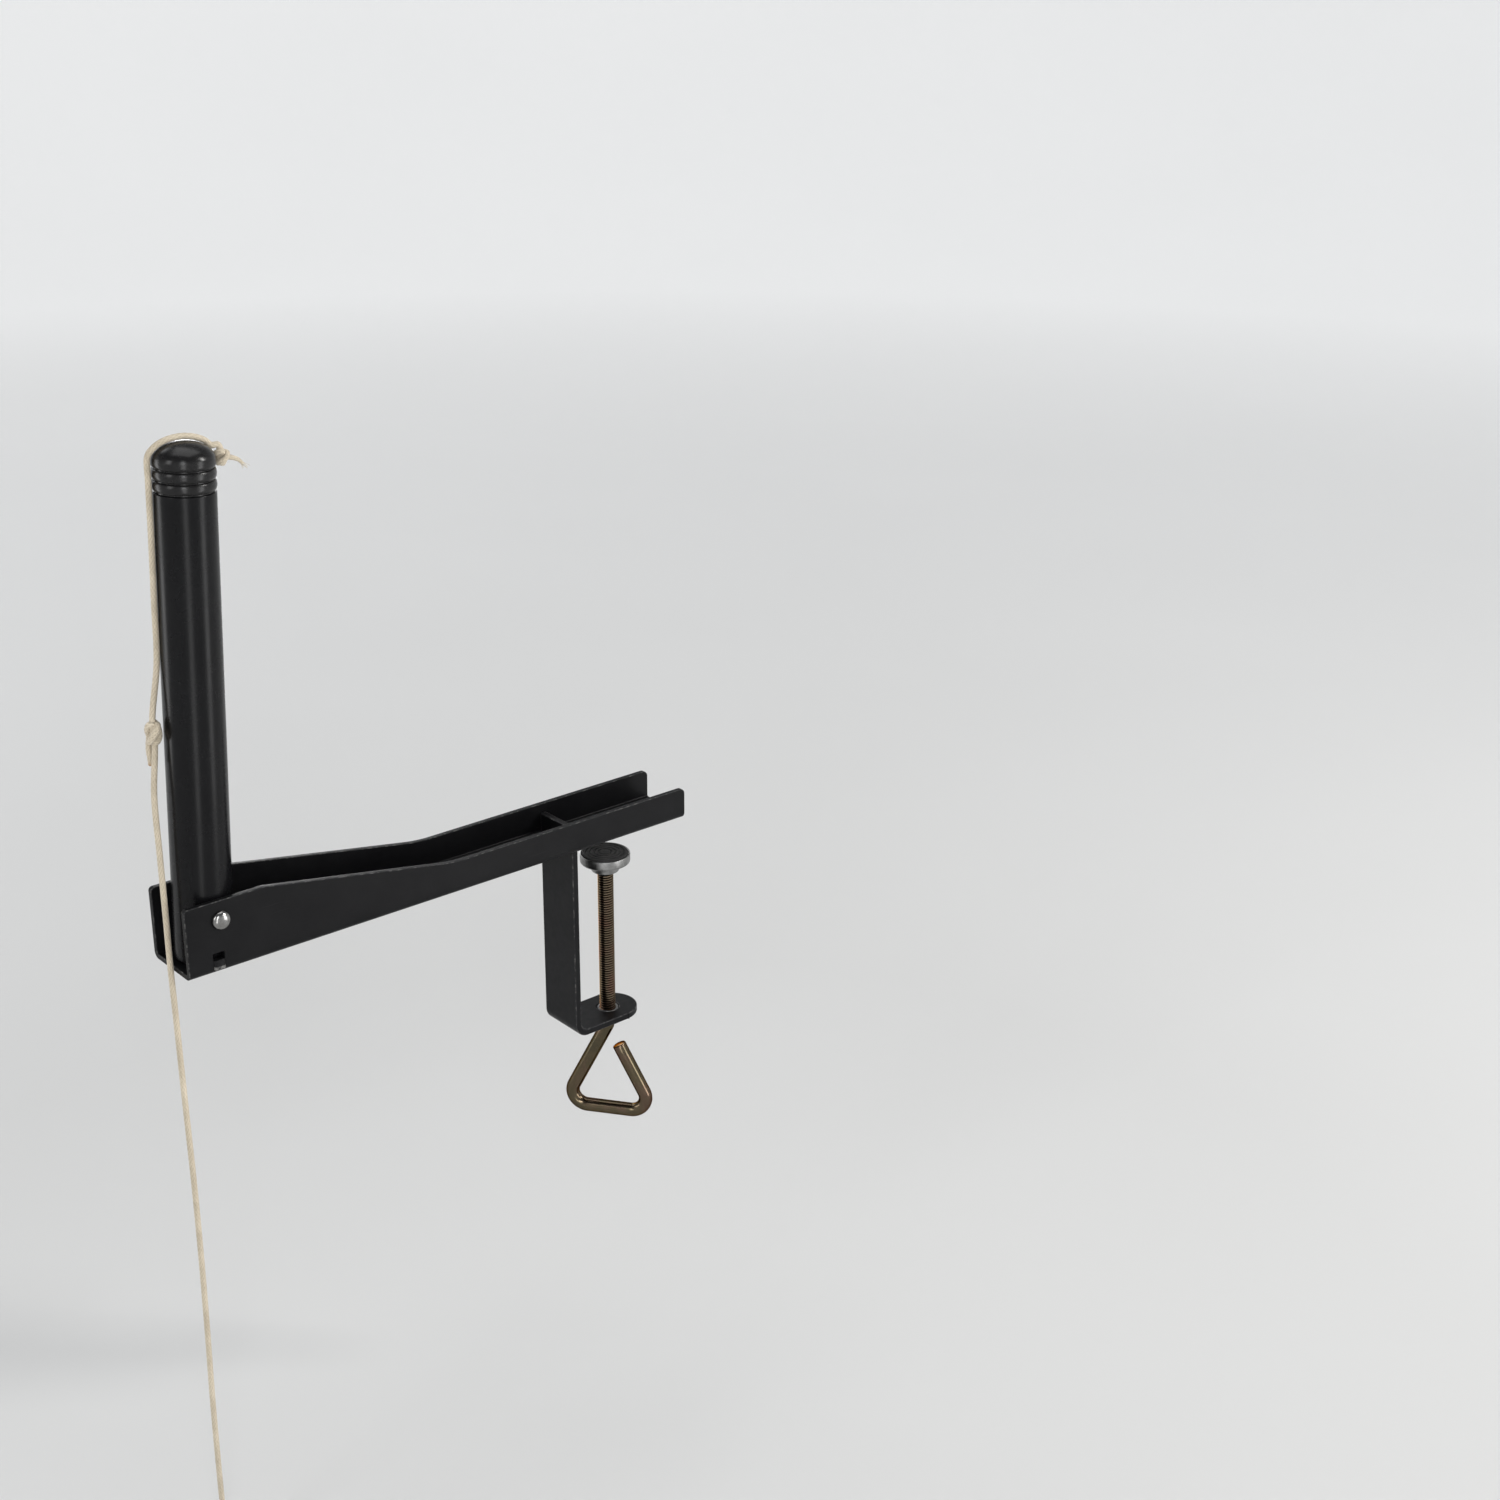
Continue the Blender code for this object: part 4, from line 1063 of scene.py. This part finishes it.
tail_end_pts = [knot_end_at + Vector((0.4, 0.3, -1.5)), knot_end_at + Vector((0.7, 0.5, -3.4)),
                knot_end_at + Vector((1.0, 0.4, -5.4)), knot_end_at + Vector((1.1, 0.1, -7.0))]
tail_cap = braid("tail_at_cap", smooth_route(tail_cap_pts, 0.27)[0], 0.98, squeeze=lambda f: 1.0 - 0.42 * f)
tail_mid = braid("tail_at_mid", smooth_route(tail_mid_pts, 0.27)[0], 0.95, melt=(False, True))
tail_end = braid("tail_at_end", smooth_route(tail_end_pts, 0.27)[0], 0.95, squeeze=lambda f: 1.0 - 0.15 * f)


def fray(name, pts, spread, length, count, seed):
    """Loose yarns fanned out from the cut end of a tail."""
    rng = np.random.default_rng(seed)
    at = Vector(pts[-1])
    way = (Vector(pts[-1]) - Vector(pts[-2])).normalized()
    a = way.orthogonal().normalized()
    b = way.cross(a)
    verts, faces = [], []
    for k in range(count):
        th = 2 * math.pi * (k + rng.uniform(-0.3, 0.3)) / count
        out = a * math.cos(th) + b * math.sin(th)
        lean_out = spread * rng.uniform(0.35, 1.0)
        far = length * rng.uniform(0.6, 1.0)
        kink = Vector(rng.uniform(-0.25, 0.25, 3)) * length
        start = at + out * 0.30 - way * 0.8
        for j in range(9):
            t = j / 8
            c = start + way * (far + 0.8) * t + out * lean_out * t ** 1.6 + kink * t * t + Vector((0, 0, -0.5)) * t * t
            r = 0.12 * (1 - 0.55 * t)
            for i in range(6):
                q = math.pi / 3 * i
                verts.append(c + (a * math.cos(q) + b * math.sin(q)) * r)
        o = len(verts) - 54
        for j in range(8):
            for i in range(6):
                n_ = (i + 1) % 6
                faces.append((o + 6 * j + i, o + 6 * j + n_, o + 6 * j + 6 + n_, o + 6 * j + 6 + i))
        faces.append(tuple(o + i for i in range(5, -1, -1)))
        faces.append(tuple(o + 48 + i for i in range(6)))
    me = bpy.data.meshes.new(name)
    me.from_pydata([tuple(v * MM) for v in verts], [], faces)
    for key in ("hollow_shade", "melt"):
        me.attributes.new(key, "FLOAT", "POINT")
    me.materials.append(M_CORD)
    me.shade_smooth()
    return link(name, me)


fray_cap = fray("fray_at_cap", [tail_cap_pts[-2], tail_cap_pts[-1]], 0.7, 2.2, 9, 3)
fray_end = fray("fray_at_end", [tail_end_pts[-2], tail_end_pts[-1]], 0.9, 2.4, 10, 7)

# ------------------------------------------------------------ what rides on what
for ob, body, node, slot in (
    (arm, "frame", "arm_channel", "black_powder_coat"),
    (strap, "frame", "clamp_strap", "black_powder_coat"),
    (weld_near, "frame", "strap_weld_near", "black_powder_coat"),
    (weld_far, "frame", "strap_weld_far", "black_powder_coat"),
    (bush, "frame", "jaw_bush", "zinc_steel"),
    (tube, "frame", "post_tube", "black_gloss_paint"),
    (cap, "frame", "post_cap", "black_plastic"),
    (rivet, "frame", "post_rivet", "bright_steel"),
    (screw, "screw", "screw_handle", "yellow_zinc"),
    (cup, "pad", "pressure_pad", "zinc_steel"),
    (facing, "pad", "pad_facing", "black_rubber"),
    (knot_cap, "frame", "cord_knot_cap", "cream_cord"),
    (knot_mid, "frame", "cord_knot_mid", "cream_cord"),
    (knot_end, "frame", "cord_knot_end", "cream_cord"),
    (tail_cap, "frame", "cord_tail_cap", "cream_cord"),
    (tail_mid, "frame", "cord_tail_mid", "cream_cord"),
):
    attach(ob, body)
    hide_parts(node)
for ob, slot in ((tail_end, "cream_cord"), (fray_cap, "cream_cord"), (fray_end, "cream_cord"),
                 (lip_near, "black_powder_coat"), (lip_far, "black_powder_coat")):
    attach(ob, "frame")
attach(cord, "frame")
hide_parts("cord_over_cap", "cord_drop")

# ------------------------------------------------------------ studio
FLOOR_Z = -0.2345


def stage_bowl():
    """A round pale floor that turns up into a low wall, the same all the way round."""
    prof = [(0.0, 0.0), (0.6, 0.0), (1.2, 0.0), (1.9, 0.0), (2.4, 0.0)]
    for i in range(1, 17):
        a = math.radians(90 * i / 16)
        prof.append((2.4 + 1.2 * math.sin(a), 1.2 - 1.2 * math.cos(a)))
    prof += [(3.6, 2.0), (3.6, 2.8)]
    bm = bmesh.new()
    seg = 96
    rings = []
    for r, z in prof:
        if r == 0.0:
            rings.append([bm.verts.new((0, 0, FLOOR_Z))])
        else:
            rings.append([bm.verts.new((r * math.cos(2 * math.pi * k / seg), r * math.sin(2 * math.pi * k / seg), FLOOR_Z + z)) for k in range(seg)])
    for a, b in zip(rings, rings[1:]):
        for k in range(seg):
            j = (k + 1) % seg
            if len(a) == 1:
                bm.faces.new((a[0], b[k], b[j]))
            else:
                bm.faces.new((a[k], b[k], b[j], a[j]))
    me = bpy.data.meshes.new("floor")
    bm.to_mesh(me)
    bm.free()
    me.shade_smooth()
    return link("floor", me)


n = Nodes("pale_floor")
n.into("Base Color", n.ramp(n.noise(2.0, 2.0), [(0.3, (0.69, 0.69, 0.685)), (0.7, (0.71, 0.71, 0.705))]))
apart = n.t.nodes.new("ShaderNodeSeparateXYZ")
n.t.links.new(n.xyz, apart.inputs[0])
far = n.math("SQRT", n.math("ADD", n.math("MULTIPLY", apart.outputs[0], apart.outputs[0]),
                            n.math("MULTIPLY", apart.outputs[1], apart.outputs[1])))
glow = n.math("MULTIPLY", n.range(far, 0.35, 2.4, 0.0, 0.46), n.range(apart.outputs[2], 0.10, 1.6, 1.0, 0.15))
n.into("Emission Strength", glow)
n.set(Roughness=0.8, Specular_IOR_Level=0.2, Emission_Color=(0.98, 0.99, 1.0, 1.0))
floor = stage_bowl()
floor.data.materials.append(n.m)

world = bpy.data.worlds.new("studio")
bpy.context.scene.world = world
world.use_nodes = True
bg = world.node_tree.nodes.get("Background")
bg.inputs["Color"].default_value = (0.93, 0.96, 1.0, 1.0)
bg.inputs["Strength"].default_value = 0.22


def softbox(name, azimuth, elevation, distance, size, watts, colour=(1.0, 1.0, 1.0), aim=(-0.07, 0.0, 0.0)):
    """An area light seen from the object at a compass angle from +X and a height."""
    data = bpy.data.lights.new(name, "AREA")
    data.shape = "RECTANGLE"
    data.size, data.size_y = size
    data.energy = watts
    data.color = colour
    ob = bpy.data.objects.new(name, data)
    COLL.objects.link(ob)
    az, el = math.radians(azimuth), math.radians(elevation)
    way = Vector((math.cos(az) * math.cos(el), math.sin(az) * math.cos(el), math.sin(el)))
    ob.location = Vector(aim) + way * distance
    ob.rotation_euler = way.to_track_quat("Z", "Y").to_euler()
    return ob


softbox("top_light", 40.0, 80.0, 1.7, (1.3, 1.3), 10.0)
softbox("key_light", -40.0, 34.0, 1.5, (0.20, 0.5), 9.5, (1.0, 0.985, 0.96))
softbox("fill_light", -120.0, 26.0, 1.7, (0.28, 0.9), 5.5, (0.96, 0.98, 1.0))
softbox("rim_light", 100.0, 38.0, 1.6, (0.5, 0.8), 3.0, (0.97, 0.985, 1.0))
softbox("side_light", 190.0, 24.0, 1.7, (0.4, 0.9), 5.0)
# low strips round the object, for the long highlights on upright faces; they light
# the object alone, so that they leave no pool on the floor
spare_floor = bpy.data.collections.new("strips_spare_the_floor")
spare_floor.objects.link(floor)
spare_floor.collection_objects[0].light_linking.link_state = "EXCLUDE"
for name, azimuth, dist, wide, watts in (("strip_a", -57.0, 0.62, 0.16, 1.4), ("strip_b", -119.0, 0.60, 0.13, 0.9),
                                         ("strip_c", 62.0, 0.75, 0.18, 1.6), ("strip_d", 140.0, 0.75, 0.18, 1.3)):
    strip = softbox(name, azimuth, 4.0, dist, (wide, 0.56), watts, aim=(-0.14, 0.0, 0.02))
    strip.visible_camera = False
    strip.light_linking.receiver_collection = spare_floor

bpy.context.scene.view_settings.view_transform = "Standard"
bpy.context.scene.view_settings.look = "None"
bpy.context.scene.view_settings.exposure = 0.0
